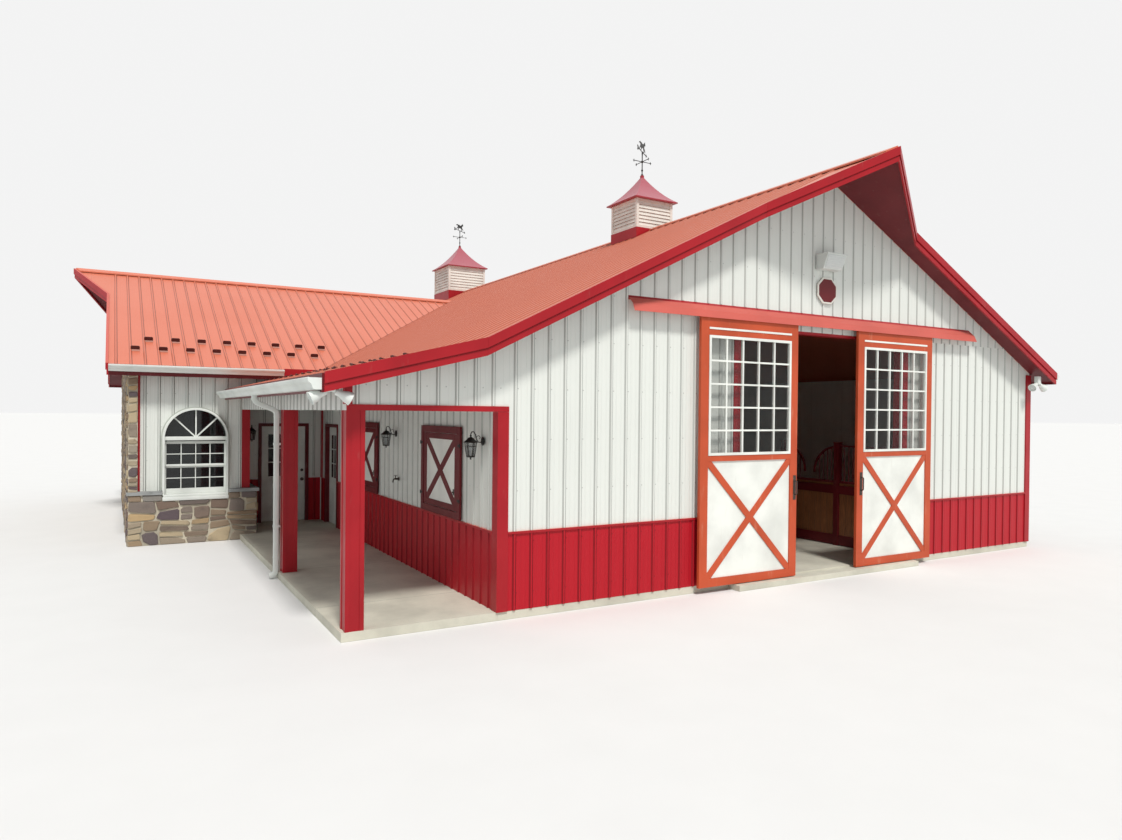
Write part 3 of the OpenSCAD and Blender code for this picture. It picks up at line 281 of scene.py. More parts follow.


# Finishes


# line sets how dark the painted shade on the ribs' sides is
def sheet_metal(name, shade, along, first, climb=1.0, rough=0.38, minor=0.0025, line=0.42,
                fixing=0.5, shine=0.4):
    """Painted ribbed sheets: painted shade on the ribs' sides, small ribs between them, screws,
    laps and dust.
    """
    s = Shader(name)
    height = s.axis("Z") * climb
    pitch = (s.axis(along) - first) / RIB_PITCH
    share = pitch.math("FRACT")
    small = abs(share - 1 / 3).math("MINIMUM", abs(share - 2 / 3))
    ridge = 1 - small.ease(0.012, 0.045)
    lean = s.facing(along)
    rib = abs(lean).ease(0.3, 0.5) * (1 - abs(lean).ease(0.8, 0.95))
    shadow = rib * (lean.ease(-0.2, 0.2) * 0.35 + 0.65)
    streaks = s.noise(9.0, 4.0, (3, 3, 0.12))
    cloudy = s.noise(0.55, 3.0)
    wear = streaks.ease(0.52, 0.78) * 0.35 + cloudy.ease(0.4, 0.75) * 0.35
    base = s.clouded(wear, shade, 1.03, 0.92)
    lap = 1 - abs((pitch / 4).math("FRACT") - 0.5).ease(0.002, 0.006)
    base = s.mix(lap * 0.4, base, tint(shade, 0.5))
    # painted shade: the ribs' sloping sides take a darker tone, one side darker than the other
    base = s.mix(shadow, base, tint(shade, line))
    across = abs(share - 0.16) * RIB_PITCH
    down = abs((height / SCREW_PITCH).math("FRACT") - 0.5) * SCREW_PITCH
    spot = (across * across + down * down).math("SQRT")
    base = s.mix((1 - spot.ease(0.006, 0.009)) * 0.75, base, tint(shade, fixing))
    bumps = s.bump(ridge + (1 - spot.ease(0.004, 0.009)), minor)
    waves = s.noise(1.1, 2.0, (1, 1, 0.35)) + s.noise(160.0, 2.0) * 0.002
    return s.surface(base, wear * 0.16 + rough, Normal=s.bump(waves, 0.012, 0.35, Normal=bumps),
                     Specular_IOR_Level=shine)


def top_lit_bleached_trim(name, shade, pale_tone, rough=0.36):
    """Enamelled trim, paler on the faces that look up: painted light from above, with some sun
    bleaching.
    """
    s = Shader(name)
    clouds = s.noise(1.7, 4.0)
    dust = s.noise(15.0, 5.0, (1, 1, 0.25))
    base = s.clouded(clouds.ease(0.3, 0.8), shade, 1.05, 0.86)
    # painted top light: faces that look up take the pale tone, partly standing for sun bleaching
    base = s.mix(s.facing("Z").ease(0.25, 0.7) * 0.9, base, pale_tone)
    base = s.mix(dust.ease(0.62, 0.86) * 0.15, base, (0.33, 0.26, 0.22))
    return s.surface(base, clouds * 0.2 + (rough - 0.1), s.noise(120.0, 3.0), 0.0006, 0.6,
                     Specular_IOR_Level=0.22)


def cover_finish(name, pale_tone, edge):
    """The track cover: bleached in front, with a band of deeper red along its top."""
    s = Shader(name)
    clouds = s.noise(0.9, 4.0)
    chips = s.noise(5.0, 6.0, (1, 1, 2), 0.7)
    base = s.clouded(clouds.ease(0.3, 0.8), pale_tone, 1.06, 0.88)
    base = s.mix(s.axis("Z").ease(3.962, 3.966), base, edge)
    base = s.mix(chips.ease(0.7, 0.74) * 0.5, base, (0.75, 0.45, 0.33))
    return s.surface(base, clouds * 0.15 + 0.34, s.noise(110.0, 3.0), 0.0006, 0.6,
                     Specular_IOR_Level=0.25)


def painted(name, shade, rough=0.42, dust_shade=(0.33, 0.28, 0.23), scale=2.4, grain=0.0,
            dusty=0.22):
    """Paint on metal or wood, with faint clouds, dust and a slightly uneven surface."""
    s = Shader(name)
    clouds = s.noise(scale, 4.0)
    dust = s.noise(scale * 7, 5.0, (1, 1, 0.25))
    base = s.clouded(clouds.ease(0.3, 0.8), shade, 1.06, 0.84)
    base = s.mix(dust.ease(0.6, 0.86) * dusty, base, dust_shade)
    fine = s.noise(36.0, 3.0, (26, 26, 1.5)) if grain else s.noise(120.0, 3.0)
    return s.surface(base, clouds * 0.2 + (rough - 0.1), fine, grain or 0.0006, 0.6,
                     Specular_IOR_Level=0.25)


def concrete_finish(name, shade):
    """Trowelled concrete with fine grit, stains and hairline joints."""
    s = Shader(name)
    stains = s.noise(0.9, 5.0, roughness=0.6)
    grit = s.noise(95.0, 3.0)
    joint = 1 - abs((s.axis("Y") / SLAB_PITCH).math("FRACT") - 0.5).ease(0.001, 0.0035)
    base = s.clouded(stains.ease(0.3, 0.75), shade, 1.08, 0.74)
    base = s.mix(grit.ease(0.55, 0.8) * 0.4, base, tint(shade, 0.6))
    base = s.mix(joint * 0.7, base, tint(shade, 0.35))
    return s.surface(base, grit * 0.15 + 0.72, grit - joint * 4, 0.0015, 0.7)


def stone_finish(name):
    """Split fieldstone: each stone has its own tone, with veins, rust and a rough face."""
    s = Shader(name)
    tone = s.node("ShaderNodeAttribute", {"attribute_name": "tone"}, out="Fac")
    base = s.ramp(tone, (0.0, (0.105, 0.078, 0.088)), (0.12, (0.2, 0.14, 0.098)),
                  (0.25, (0.5, 0.355, 0.185)), (0.36, (0.13, 0.105, 0.095)),
                  (0.5, (0.34, 0.245, 0.15)), (0.62, (0.11, 0.086, 0.092)),
                  (0.74, (0.26, 0.215, 0.17)), (0.86, (0.46, 0.37, 0.235)),
                  (1.0, (0.23, 0.215, 0.195)))
    veins, grit = s.noise(4.0, 6.0, (1, 1, 1.3), 0.62), s.noise(60.0, 5.0)
    base = s.mix(veins.ease(0.5, 0.78) * 0.5, base, (0.085, 0.068, 0.06))
    base = s.mix(s.noise(1.6, 4.0).ease(0.6, 0.78) * 0.28, base, (0.38, 0.28, 0.16))
    base = s.mix(grit.ease(0.58, 0.74) * 0.25, base, (0.44, 0.4, 0.33))
    return s.surface(base, grit * 0.2 + 0.72, veins * 0.7 + grit * 0.3, 0.011, 0.9)


def mortar_finish(name, shade):
    """Sandy mortar."""
    s = Shader(name)
    sand = s.noise(140.0, 3.0)
    base = s.clouded(s.noise(1.7, 4.0).ease(0.35, 0.7), shade, 1.1, 0.66)
    base = s.mix(sand.ease(0.5, 0.8) * 0.4, base, tint(shade, 0.5))
    return s.surface(base, sand * 0.1 + 0.85, sand, 0.003, 0.8)


def ledge_finish(name):
    """Sawn grey-green ledge stone."""
    s = Shader(name)
    bands, grit = s.noise(5.0, 5.0, (1, 1, 6)), s.noise(80.0, 3.0)
    base = s.mix(bands.ease(0.3, 0.75), (0.35, 0.365, 0.36), (0.2, 0.205, 0.2))
    base = s.mix(grit.ease(0.55, 0.8) * 0.4, base, (0.46, 0.47, 0.46))
    return s.surface(base, grit * 0.15 + 0.7, grit + bands, 0.003, 0.8)


def wood_finish(name, shade):
    """Varnished boards that stand on end, with joints between them."""
    s = Shader(name)
    grain = s.noise(14.0, 6.0, (1, 6, 0.35), 0.6)
    joint = 1 - abs((s.axis("Y") / BOARD_PITCH).math("FRACT") - 0.5).ease(0.0, 0.03)
    base = s.clouded(grain.ease(0.3, 0.72), shade, 1.35, 0.55)
    base = s.mix(s.noise(1.0, 0.0, (1, 7.1, 0.01)).ease(0.35, 0.7) * 0.45, base,
                 tint(shade, 0.8))
    base = s.mix(joint * 0.85, base, tint(shade, 0.12))
    return s.surface(base, grain * 0.2 + 0.32, grain * 0.3 - joint, 0.004, 0.8, Coat_Weight=0.2)


def iron_finish(name, shade):
    """Black paint on iron, a little rubbed."""
    s = Shader(name)
    rub = s.noise(18.0, 4.0)
    base = s.mix(rub.ease(0.55, 0.8) * 0.5, shade, tint(shade, 4.5))
    return s.surface(base, rub * 0.3 + 0.3, s.noise(220.0, 2.0), 0.0006, 0.5, Metallic=0.35)


def glass_finish(name, shade, alpha):
    """Window glass that mirrors the sky a little."""
    s = Shader(name)
    return s.surface(shade, 0.03, s.noise(1.6, 1.0), 0.004, 0.12, Alpha=alpha, IOR=1.5)


def lit_glass_finish(name):
    """Frosted lamp glass."""
    s = Shader(name)
    frost = s.noise(55.0, 2.0)
    base = s.mix(frost, (0.72, 0.74, 0.72), (0.5, 0.53, 0.52))
    return s.surface(base, frost * 0.2 + 0.12, frost, 0.002, 0.4)


FINISHES = {}


def make_finishes(colours):
    """Makes every material, under the name that the pieces use."""
    c = colours
    FINISHES.update({
        "siding across": sheet_metal("Siding across", c.siding, "X", 0.214),
        "siding along": sheet_metal("Siding along", c.siding, "Y", 0.1143),
        "siding wing": sheet_metal("Siding of the wing", c.siding, "X", -3.424),
        "roof": sheet_metal("Roof of the barn", c.roofing, "Y", -0.19, SLOPE_LENGTH, 0.33,
                            0.0015, 0.5, 0.62),
        "wing roof": sheet_metal("Roof of the wing", c.roofing, "X", -3.88, SLOPE_LENGTH, 0.33,
                                 0.0015, 0.5, 0.62),
        "ridge": top_lit_bleached_trim("Ridge caps", c.roofing, tint(c.roofing, 1.08), 0.34),
        "wainscot": sheet_metal("Wainscot", c.wainscot, "X", 0.214, 1.0, 0.36, 0.0025, 0.3,
                                0.45, 0.2),
        "trim": top_lit_bleached_trim("Red trim", c.trim, (0.6, 0.13, 0.095)),
        "cupola roof": top_lit_bleached_trim("Cupola roofs", (0.36, 0.04, 0.055), (0.42, 0.135, 0.165)),
        "louvre": painted("Louvre paint", (0.74, 0.72, 0.655), 0.42, (0.55, 0.5, 0.4)),
        "maroon": painted("Maroon trim", c.maroon, 0.4),
        "cover": cover_finish("Track cover", (0.57, 0.118, 0.092), c.trim),
        "gutter": painted("Gutter enamel", c.gutter, 0.42, (0.55, 0.57, 0.52), 1.4, 0.0, 0.06),
        "door": painted("Door paint", c.door, 0.45, (0.66, 0.34, 0.22), 1.6, 0.0012, 0.45),
        "sash": painted("Sash paint", c.sash, 0.45, (0.5, 0.47, 0.4), 1.9, 0.0006),
        "concrete": concrete_finish("Concrete", c.concrete),
        "stone": stone_finish("Fieldstone"),
        "mortar": mortar_finish("Mortar", c.mortar),
        "ledge": ledge_finish("Ledge stone"),
        "wood": wood_finish("Stall boards", c.wood),
        "iron": iron_finish("Black iron", c.iron),
        "glass": glass_finish("Window glass", (0.05, 0.06, 0.06), 0.15),
        # nearly opaque near-black glass: painted shade of the unlit rooms behind the arched
        # window and the entry doors
        "shade-painted glass": glass_finish("Window glass with painted shade", (0.012, 0.015, 0.016), 0.86),
        "lamp glass": lit_glass_finish("Lamp glass"),
        "guard": painted("Guard resin", c.guard, 0.35),
        "guard foot": painted("Guard foot resin", (0.5, 0.24, 0.19), 0.3),
        "bronze": iron_finish("Dark bronze", (0.055, 0.042, 0.034)),
        "casing": painted("Window casing", (0.74, 0.77, 0.73), 0.36, (0.5, 0.5, 0.45), 2.0, 0.0,
                          0.12),
        # the channel takes a darker copy of the casing's white: painted shade beside the casing
        "channel": painted("Window channel", (0.46, 0.49, 0.44), 0.42),
        "lantern glass": glass_finish("Lantern glass", (0.16, 0.18, 0.18), 0.18),
    })


NODE_FINISH = {
    "siding across": "front_wall front_gable_wall porch_header rear_wall entry_wall",
    "siding along": "left_wall right_wall porch_beam",
    "siding wing": "wing_front_wall wing_rear_wall",
    "roof": "main_roof_left main_roof_right porch_roof",
    "wing roof": "wing_roof_front wing_roof_rear",
    "ridge": "ridge_caps",
    "trim": "rake_trim porch_posts wall_trim doorway_trim cupola_bases",
    "cover": "track_cover",
    "cupola roof": "cupola_roofs",
    "louvre": "cupola_louvres",
    "wainscot": "wainscot",
    # eave_trim takes the dark maroon as painted shade: the eave fascia is red trim
    "maroon": "eave_trim soffits entry_door_frames shutter_windows stall_grille",
    "gutter": "gutters downspout floodlights",
    "door": "left_door_frame right_door_frame",
    "sash": "left_door_infill right_door_infill side_entry_door wing_entry_door shutter_panels "
            "arched_window_frame",
    "concrete": "floor_slab porch_slab door_sill",
    "mortar": "wing_gable_wall stone_wainscot",
    "ledge": "stone_ledge",
    "glass": "left_door_glass right_door_glass",
    "shade-painted glass": "arched_window_glass",
    "iron": "vane_poles front_weathervane rear_weathervane porch_lanterns",
    "wood": "stall_front",
}


# Mesh tools


def new_object(name, data):
    """An object in the scene."""
    made = bpy.data.objects.new(name, data)
    bpy.context.scene.collection.objects.link(made)
    return made


def new_mesh(name, bm, material):
    """An object made from a bmesh, in one material."""
    mesh = bpy.data.meshes.new(name)
    bm.to_mesh(mesh)
    bm.free()
    mesh.materials.append(material)
    return new_object(name, mesh)


def piece(name, bm, finish, body="root", smooth=None):
    """Makes a finished piece from a bmesh: closed, facing outwards and riding on its body."""
    ops.recalc_face_normals(bm, faces=bm.faces)
    made = new_mesh(name, bm, FINISHES[finish])
    if smooth is not None:
        made.data.shade_smooth()
        made.data.set_sharp_from_angle(angle=radians(smooth))
    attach(made, body)
    return made


def basis(origin, right, up, out):
    """A matrix that lays a drawing on a wall: X to the right, Y up and Z out of it."""
    return Matrix.Translation(origin) @ Matrix((right, up, out)).transposed().to_4x4()


def on_wall(origin, out):
    """Lays a drawing on an upright wall that faces out."""
    return basis(origin, Z.cross(out), Z, out)


def shifted(place, x, y, z):
    """A place moved along its own axes."""
    return place @ Matrix.Translation((x, y, z))


def aimed(way):
    """A turn that takes the Z axis to a direction."""
    return way.to_track_quat("Z", "Y").to_matrix().to_4x4()


def rectangle(x0, y0, x1, y1):
    """The corners of a rectangle."""
    return [(x0, y0), (x1, y0), (x1, y1), (x0, y1)]


def pick(geometry, kind):
    """The vertices or the faces among what an operator made."""
    return [part for part in geometry if isinstance(part, kind)]


def bevel(bm, edges, width, segments=2):
    """Softens edges and gives back the vertices that this makes."""
    return ops.bevel(bm, geom=list(edges), offset=width, affect="EDGES", segments=segments,
                           profile=0.5, material=-1, clamp_overlap=True)["verts"]


def add_box(bm, low, high, soft=0.0):
    """A box between two corners, with softened edges."""
    low, high = Vector(low), Vector(high)
    made = ops.create_cube(bm, size=1.0)["verts"]
    ops.scale(bm, verts=made, vec=high - low)
    ops.translate(bm, verts=made, vec=(low + high) / 2)
    if soft:
        bevel(bm, {e for v in made for e in v.link_edges}, soft)


def add_frame(bm, axis, low, high, stile, foot, head):
    """Two stiles and two rails between two corners, side by side along an axis."""
    left, right, bottom, top = low[axis], high[axis], low[2], high[2]
    for a, b, z0, z1 in ((left, left + stile, bottom, top), (right - stile, right, bottom, top),
                         (left + stile, right - stile, bottom, bottom + foot),
                         (left + stile, right - stile, top - head, top)):
        start, end = list(low), list(high)
        start[axis], end[axis], start[2], end[2] = a, b, z0, z1
        add_box(bm, start, end, 0.004)


def add_rod(bm, start, end, radius, sides=12):
    """A round bar between two points."""
    start, end = Vector(start), Vector(end)
    way = end - start
    ops.create_cone(bm, cap_ends=True, segments=sides, radius1=radius, radius2=radius,
                          depth=way.length,
                          matrix=Matrix.Translation((start + end) / 2) @ aimed(way))


def add_turned(bm, profile, place, steps=24):
    """A shape turned round the Z axis of place, from (radius, height) pairs."""
    verts = [bm.verts.new(place @ Vector((r, 0, z))) for r, z in profile]
    edges = [bm.edges.new(pair) for pair in zip(verts, verts[1:])]
    before = set(bm.verts) - set(verts)
    ops.spin(bm, geom=verts + edges, cent=place.translation,
                   axis=place.to_3x3() @ Z, angle=tau, steps=steps,
                   use_merge=True, use_duplicate=False)
    ops.remove_doubles(bm, verts=[v for v in bm.verts if v not in before], dist=1e-6)


def flat(bm, outline, place):
    """A face with an outline in the plane of place's X and Y."""
    return bm.faces.new([bm.verts.new(place @ Vector((x, y, 0))) for x, y in outline])


def disc(bm, radius, sides, place):
    """A round face in the plane of place's X and Y."""
    made = ops.create_circle(bm, cap_ends=True, radius=radius, segments=sides, matrix=place)
    return made["verts"][0].link_faces[0]


def rounded(points, radius):
    """A line of points with its corners rounded."""
    points = [Vector(p) for p in points]
    made = [points[0]]
    for before, corner, after in zip(points, points[1:], points[2:]):
        start = corner + (before - corner).normalized() * radius
        end = corner + (after - corner).normalized() * radius
        for t in (0, 0.25, 0.5, 0.75, 1):
            made.append(start.lerp(corner, t).lerp(corner.lerp(end, t), t))
    return made + [points[-1]]


def along(points, side):
    """Places along a line of points, whose X axis stays on side."""
    points, places = [Vector(p) for p in points], []
    for i, point in enumerate(points):
        way = (points[min(i + 1, len(points) - 1)] - points[max(i - 1, 0)]).normalized()
        places.append(basis(point, side, way.cross(side), way))
    return places


def sweep(bm, face, places):
    """Carries a face through a row of places and closes the solid it leaves."""
    for before, after in zip(places, places[1:]):
        made = ops.extrude_face_region(bm, geom=[face])["geom"]
        face = pick(made, BMFace)[0]
        ops.transform(bm, matrix=after @ before.inverted(), verts=face.verts[:])


def add_tube(bm, outline, points, side):
    """An outline carried along a line of points."""
    places = along(points, side)
    sweep(bm, flat(bm, outline, places[0]), places)


def add_bar(bm, points, side, radius, sides):
    """A round bar bent along a line of points."""
    places = along(points, side)
    sweep(bm, disc(bm, radius, sides, places[0]), places)


def add_plate(bm, outline, depth, place, soft=0.0, segments=1):
    """An outline in the plane of place's X and Y, given a thickness along its Z."""
    face = flat(bm, outline, place)
    verts = list(face.verts)
    made = ops.extrude_face_region(bm, geom=[face])["geom"]
    top = pick(made, BMVert)
    ops.translate(bm, verts=top, vec=place.to_3x3() @ Vector((0, 0, depth)))
    if soft:
        top = bevel(bm, {e for f in pick(made, BMFace) for e in f.edges}, soft, segments)
    return verts + top


# Fieldstone


def clip(outline, point, normal):
    """The part of an outline on the side of a line that normal points away from."""
    kept = []
    for a, b in zip(outline, outline[1:] + outline[:1]):
        da = (a[0] - point[0]) * normal[0] + (a[1] - point[1]) * normal[1]
        db = (b[0] - point[0]) * normal[0] + (b[1] - point[1]) * normal[1]
        if da <= 0:
            kept.append(a)
        if da * db < 0:
            t = da / (da - db)
            kept.append((a[0] + (b[0] - a[0]) * t, a[1] + (b[1] - a[1]) * t))
    return kept


def stone_cells(low, high, size, draw):
    """Splits a rectangle into stones of mixed sizes, with staggered joints."""
    todo, cells = [(low[0], low[1], high[0], high[1])], []
    while todo:
        x0, y0, x1, y1 = todo.pop()
        wide, tall = x1 - x0, y1 - y0
        limit_w, limit_h = size[0] * draw.uniform(0.9, 1.75), size[1] * draw.uniform(0.85, 1.5)
        if tall > limit_h and (wide < tall * 1.9 or wide <= limit_w):
            cut = y0 + tall * draw.uniform(0.36, 0.64)
            todo += [(x0, y0, x1, cut), (x0, cut, x1, y1)]
        elif wide > limit_w:
            cut = x0 + wide * draw.uniform(0.36, 0.64)
            todo += [(x0, y0, cut, y1), (cut, y0, x1, y1)]
        else:
            cells.append((x0, y0, x1, y1))
    return cells


def stone_outline(cell, joint, draw, bounds):
    """A stone's irregular outline inside its cell."""
    x0, y0, x1, y1 = cell
    gap = joint / 2
    bend = min(x1 - x0, y1 - y0)
    corners = []
    for x, y, sx, sy in ((x0, y0, 1, 1), (x1, y0, -1, 1), (x1, y1, -1, -1), (x0, y1, 1, -1)):
        edge_x = gap if bounds[0] + 1e-4 < x < bounds[2] - 1e-4 else 0
        edge_y = gap if bounds[1] + 1e-4 < y < bounds[3] - 1e-4 else 0
        most = 0.44 if draw.random() < 0.3 else 0.22
        cut_x = draw.uniform(0.05, most) * bend * 1.3
        cut_y = draw.uniform(0.05, most) * bend
        near = (x + sx * (edge_x + draw.uniform(0, 0.01)), y + sy * (edge_y + cut_y))
        far = (x + sx * (edge_x + cut_x), y + sy * (edge_y + draw.uniform(0, 0.008)))
        corners.append((near, far) if (sx == sy) else (far, near))
    return [warp(p, bounds) for pair in corners for p in pair]


def warp(point, bounds):
    """Moves a point of the bond along a smooth field that dies out at the wall's edges."""
    x, y = point
    spot = Vector((x * 2.1 + 7.3, y * 3.1, bounds[0]))
    shift_x, shift_y = noise.noise(spot), noise.noise(spot + WARP_APART)
    room_x = min(1.0, max(0.0, min(x - bounds[0], bounds[2] - x) / 0.12))
    room_y = min(1.0, max(0.0, min(y - bounds[1], bounds[3] - y) / 0.09))
    return x + shift_x * 0.085 * room_x, y + shift_y * 0.07 * room_y


def add_stones(bm, low, high, place, sizes, draw, cuts=()):
    """Stones over a rectangle of a wall: place turns its plane into the wall's."""
    tones = bm.verts.layers.float.get("tone") or bm.verts.layers.float.new("tone")
    for cell in stone_cells(low, high, (sizes.stone_width, sizes.stone_height), draw):
        outline = stone_outline(cell, sizes.joint, draw, (*low, *high))
        for point, normal in cuts:
            outline = clip(outline, point, normal)
        if len(outline) < 3:
            continue
        sides = zip(outline, outline[1:] + outline[:1])
        area = abs(sum(a[0] * b[1] - b[0] * a[1] for a, b in sides) / 2)
        if area < 0.0012:
            continue
        depth = sizes.relief * draw.uniform(0.55, 1.3)
        made = add_plate(bm, outline, depth + STONE_SEAT, shifted(place, 0, 0, -STONE_SEAT),
                         min(0.014, sqrt(area) * 0.12), 2)
        tone = draw.random()
        for vert in sorted(made, key=lambda v: [round(c, 4) for c in v.co]):
            vert[tones] = tone
            vert.co += place.to_3x3() @ Z * draw.uniform(-0.0025, 0.0035)


# Stage


def add_floor():
    """A pale round floor that reaches the horizon."""
    s = Shader("Pale floor")
    shade = s.mix(s.noise(1.4, 3.0), (0.78, 0.78, 0.77), (0.74, 0.74, 0.73))
    bm = new_bmesh()
    ops.create_circle(bm, cap_ends=True, segments=96, radius=FLOOR_RADIUS)
    made = new_mesh("Floor", bm, s.surface(shade, 0.9))
    made.location = FLOOR_PLACE


def add_light(scene):
    """A pale sky that looks brighter than it lights, and a soft sun from the front."""
    s = Shader("Studio", "worlds", "ShaderNodeOutputWorld")
    scene.world = s.owner
    seen, mirrored, through = (s.node("ShaderNodeLightPath", out=f"Is {kind} Ray")
                               for kind in ("Camera", "Glossy", "Transmission"))
    lit, shown = (s.node("ShaderNodeBackground", None, Color=shade, Strength=strength)
                  for shade, strength in ((SKY_COLOUR, SKY_LIGHT), ((1, 1, 1), SKY_SEEN)))
    either = seen.math("MAXIMUM", mirrored).math("MAXIMUM", through)
    mixed = s.node("ShaderNodeMixShader", None, either, lit, shown)
    s.plug(s.output.inputs["Surface"], mixed)
    sun = bpy.data.lights.new("Key light", "SUN")
    sun.energy = SUN_ENERGY
    sun.angle = scene.barn_sizes.sun_angle
    sun.color = SUN_COLOUR
    lamp = new_object("Key light", sun)
    to_light = Vector((-0.1, -cos(SUN_HEIGHT), sin(SUN_HEIGHT)))
    lamp.rotation_mode = "QUATERNION"
    lamp.rotation_quaternion = to_light.to_track_quat("Z", "Y")


def add_camera(scene):
    """The photograph's camera."""
    data = bpy.data.cameras.new("Camera")
    data.sensor_width = SENSOR_WIDTH
    data.lens = FOCAL_LENGTH
    data.clip_start, data.clip_end = 0.1, 600
    scene.camera = new_object("Camera", data)
    scene.camera.matrix_world = (
        Matrix.Translation(CAMERA_PLACE) @ Matrix.Rotation(-CAMERA_YAW, 4, "Z")
        @ Matrix.Rotation(QUARTER + CAMERA_PITCH, 4, "X") @ Matrix.Rotation(CAMERA_ROLL, 4, "Z"))


class BARN_OT_stage(Operator):
    """Set the floor, the light and the camera"""

    bl_idname = "barn.stage"
    bl_label = "Stage"

    def execute(self, context):
        add_floor()
        add_light(context.scene)
        add_camera(context.scene)
        return {"FINISHED"}


class BARN_OT_finish_frame(Operator):
    """Give every solid of the barn its finish"""

    bl_idname = "barn.finish_frame"
    bl_label = "Finishes"

    def execute(self, context):
        make_finishes(context.scene.barn_colours)
        for finish, nodes in NODE_FINISH.items():
            for node in nodes.split():
                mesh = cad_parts[node].data
                mesh.materials.clear()
                mesh.materials.append(FINISHES[finish])
        missing = set(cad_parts) - set(" ".join(NODE_FINISH.values()).split())
        if missing:
            raise RuntimeError(f"no finish for {sorted(missing)}")
        return {"FINISHED"}


# Stone


def lay_gable(sizes):
    """The wing's gable, cut along its slopes."""
    low, top = STONE_LEFT, STONE_TOP
    wide = top.y - low.y
    eave = WING_RIDGE_Z - ROOF_DEPTH - 0.016 - WING_SLOPE * wide / 2
    cuts = [((0, eave), (-WING_SLOPE, 1)), ((wide, eave), (WING_SLOPE, 1))]
    bm = new_bmesh()
    add_stones(bm, (-0.012, 0), (wide + 0.012, top.z), on_wall((low.x, top.y, 0), -X), sizes,
               random.Random(11), cuts)
    piece("gable_stones", bm, "stone")


def lay_wainscot(sizes):
    """The low wall in front, at the covered entry and behind, and the wing's corner strips."""
    left, front, top = STONE_LEFT.x, WAINSCOT_LOW.y, WAINSCOT_TOP.z
    window_low, window_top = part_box("arched_window_frame")
    sill = window_low.z - 0.002
    facing = on_wall((0, front, 0), -Y)
    entry = on_wall((ENTRY_EDGE_X, 0, 0), X)
    behind = on_wall((0, WAINSCOT_TOP.y, 0), Y)
    bm = new_bmesh()
    draw = random.Random(23)
    for place, low, high in (
            (facing, (left, 0), (ENTRY_EDGE_X, sill)),
            (facing, (left, sill), (window_low.x, top)),
            (facing, (window_top.x, sill), (ENTRY_EDGE_X, top)),
            (facing, (left, top), (left + STRIP_WIDTH, STRIP_TOP)),
            (entry, (front, 0), (front + 1.4, top)),
            (behind, (0.0, 0), (-left, top)),
            (behind, (-left - STRIP_WIDTH, top), (-left, STRIP_TOP))):
        add_stones(bm, low, high, place, sizes, draw)
    piece("wainscot_stones", bm, "stone")


class BARN_OT_fieldstone(Operator):
    """Lay fieldstone over the wing's gable wall and wainscot"""

    bl_idname = "barn.fieldstone"
    bl_label = "Fieldstone"

    def execute(self, context):
        lay_gable(context.scene.barn_sizes)
        lay_wainscot(context.scene.barn_sizes)
        return {"FINISHED"}


# Roof pieces


def add_guard(bm, feet, place, sizes, share):
    """A face that stands square to the roof, its two ribs and its foot."""
    half, tall = sizes.guard_width / 2 * max(share, 0.7), sizes.guard_height * share
    add_plate(feet, rectangle(-half, -0.075, half, 0.085), 0.006, place, 0.002)
    stand = Matrix.Rotation(QUARTER, 4, "X")
    add_plate(bm, [(-half, 0.004), (half, 0.004), (half, tall * 0.8), (half - 0.018, tall),
                   (0.018 - half, tall), (-half, tall * 0.8)], 0.008, place @ stand, 0.002)
    for side in (0.035 - half, half - 0.035):
        rib = shifted(place, side, 0, 0) @ Matrix.Rotation(QUARTER, 4, "Z") @ stand
        add_plate(bm, [(0.0, 0.004), (0.075, 0.004), (0.0, tall * 0.85)], 0.006, rib)


class BARN_OT_snow_guards(Operator):
    """Fix staggered rows of snow guards on the wing's and the porch's roofs"""

    bl_idname = "barn.snow_guards"
    bl_label = "Snow guards"

    def execute(self, context):
        sizes = context.scene.barn_sizes
        guards, feet = new_bmesh(), new_bmesh()
        on_wing = Matrix.Rotation(atan(WING_SLOPE), 4, "X")
        on_porch = Matrix.Rotation(-atan(PORCH_SLOPE), 4, "Y") @ Matrix.Rotation(-QUARTER, 4, "Z")
        rows = [(X, (x, y, WING_RIDGE_Z - WING_SLOPE * (WING_RIDGE_Y - y)), sizes.wing_guards,
                 on_wing, 1.0) for x, y in ((-3.575, 7.95), (-3.345, 8.365))]
        rows += [(Y, (x, y, PORCH_TOP_Z + PORCH_SLOPE * (x - PORCH_TOP_X)),
                  sizes.porch_guards, on_porch, PORCH_GUARD_SHARE)
                 for x, y in ((-1.475, 0.02), (-1.06, 0.25))]
        for way, first, count, turn, share in rows:
            for i in range(count):
                spot = Vector(first) + way * (i * sizes.guard_pitch) - Z * GUARD_DROP
                add_guard(guards, feet, Matrix.Translation(spot) @ turn, sizes, share)
        piece("snow_guards", guards, "guard")
        piece("snow_guard_feet", feet, "guard foot")
        return {"FINISHED"}


GUTTER_PROFILE = ((0, -0.002), (0, -0.118), (0.074, -0.118), (0.085, -0.1), (0.092, -0.076),
                  (0.106, -0.056), (0.124, -0.042), (0.133, -0.026), (0.134, -0.006),
                  (0.126, 0.0), (0.118, -0.004), (0.118, -0.016))
# Start, way, length and outward side of each gutter
GUTTER_RUNS = (((-2.117, -0.305, 2.792), Y, 7.8, -X), ((11.495, -0.305, 3.267), Y, 20.118, X),
               ((-3.995, 7.295, 3.232), X, 2.9, -Y), ((-3.995, 16.479, 3.232), X, 3.66, Y))


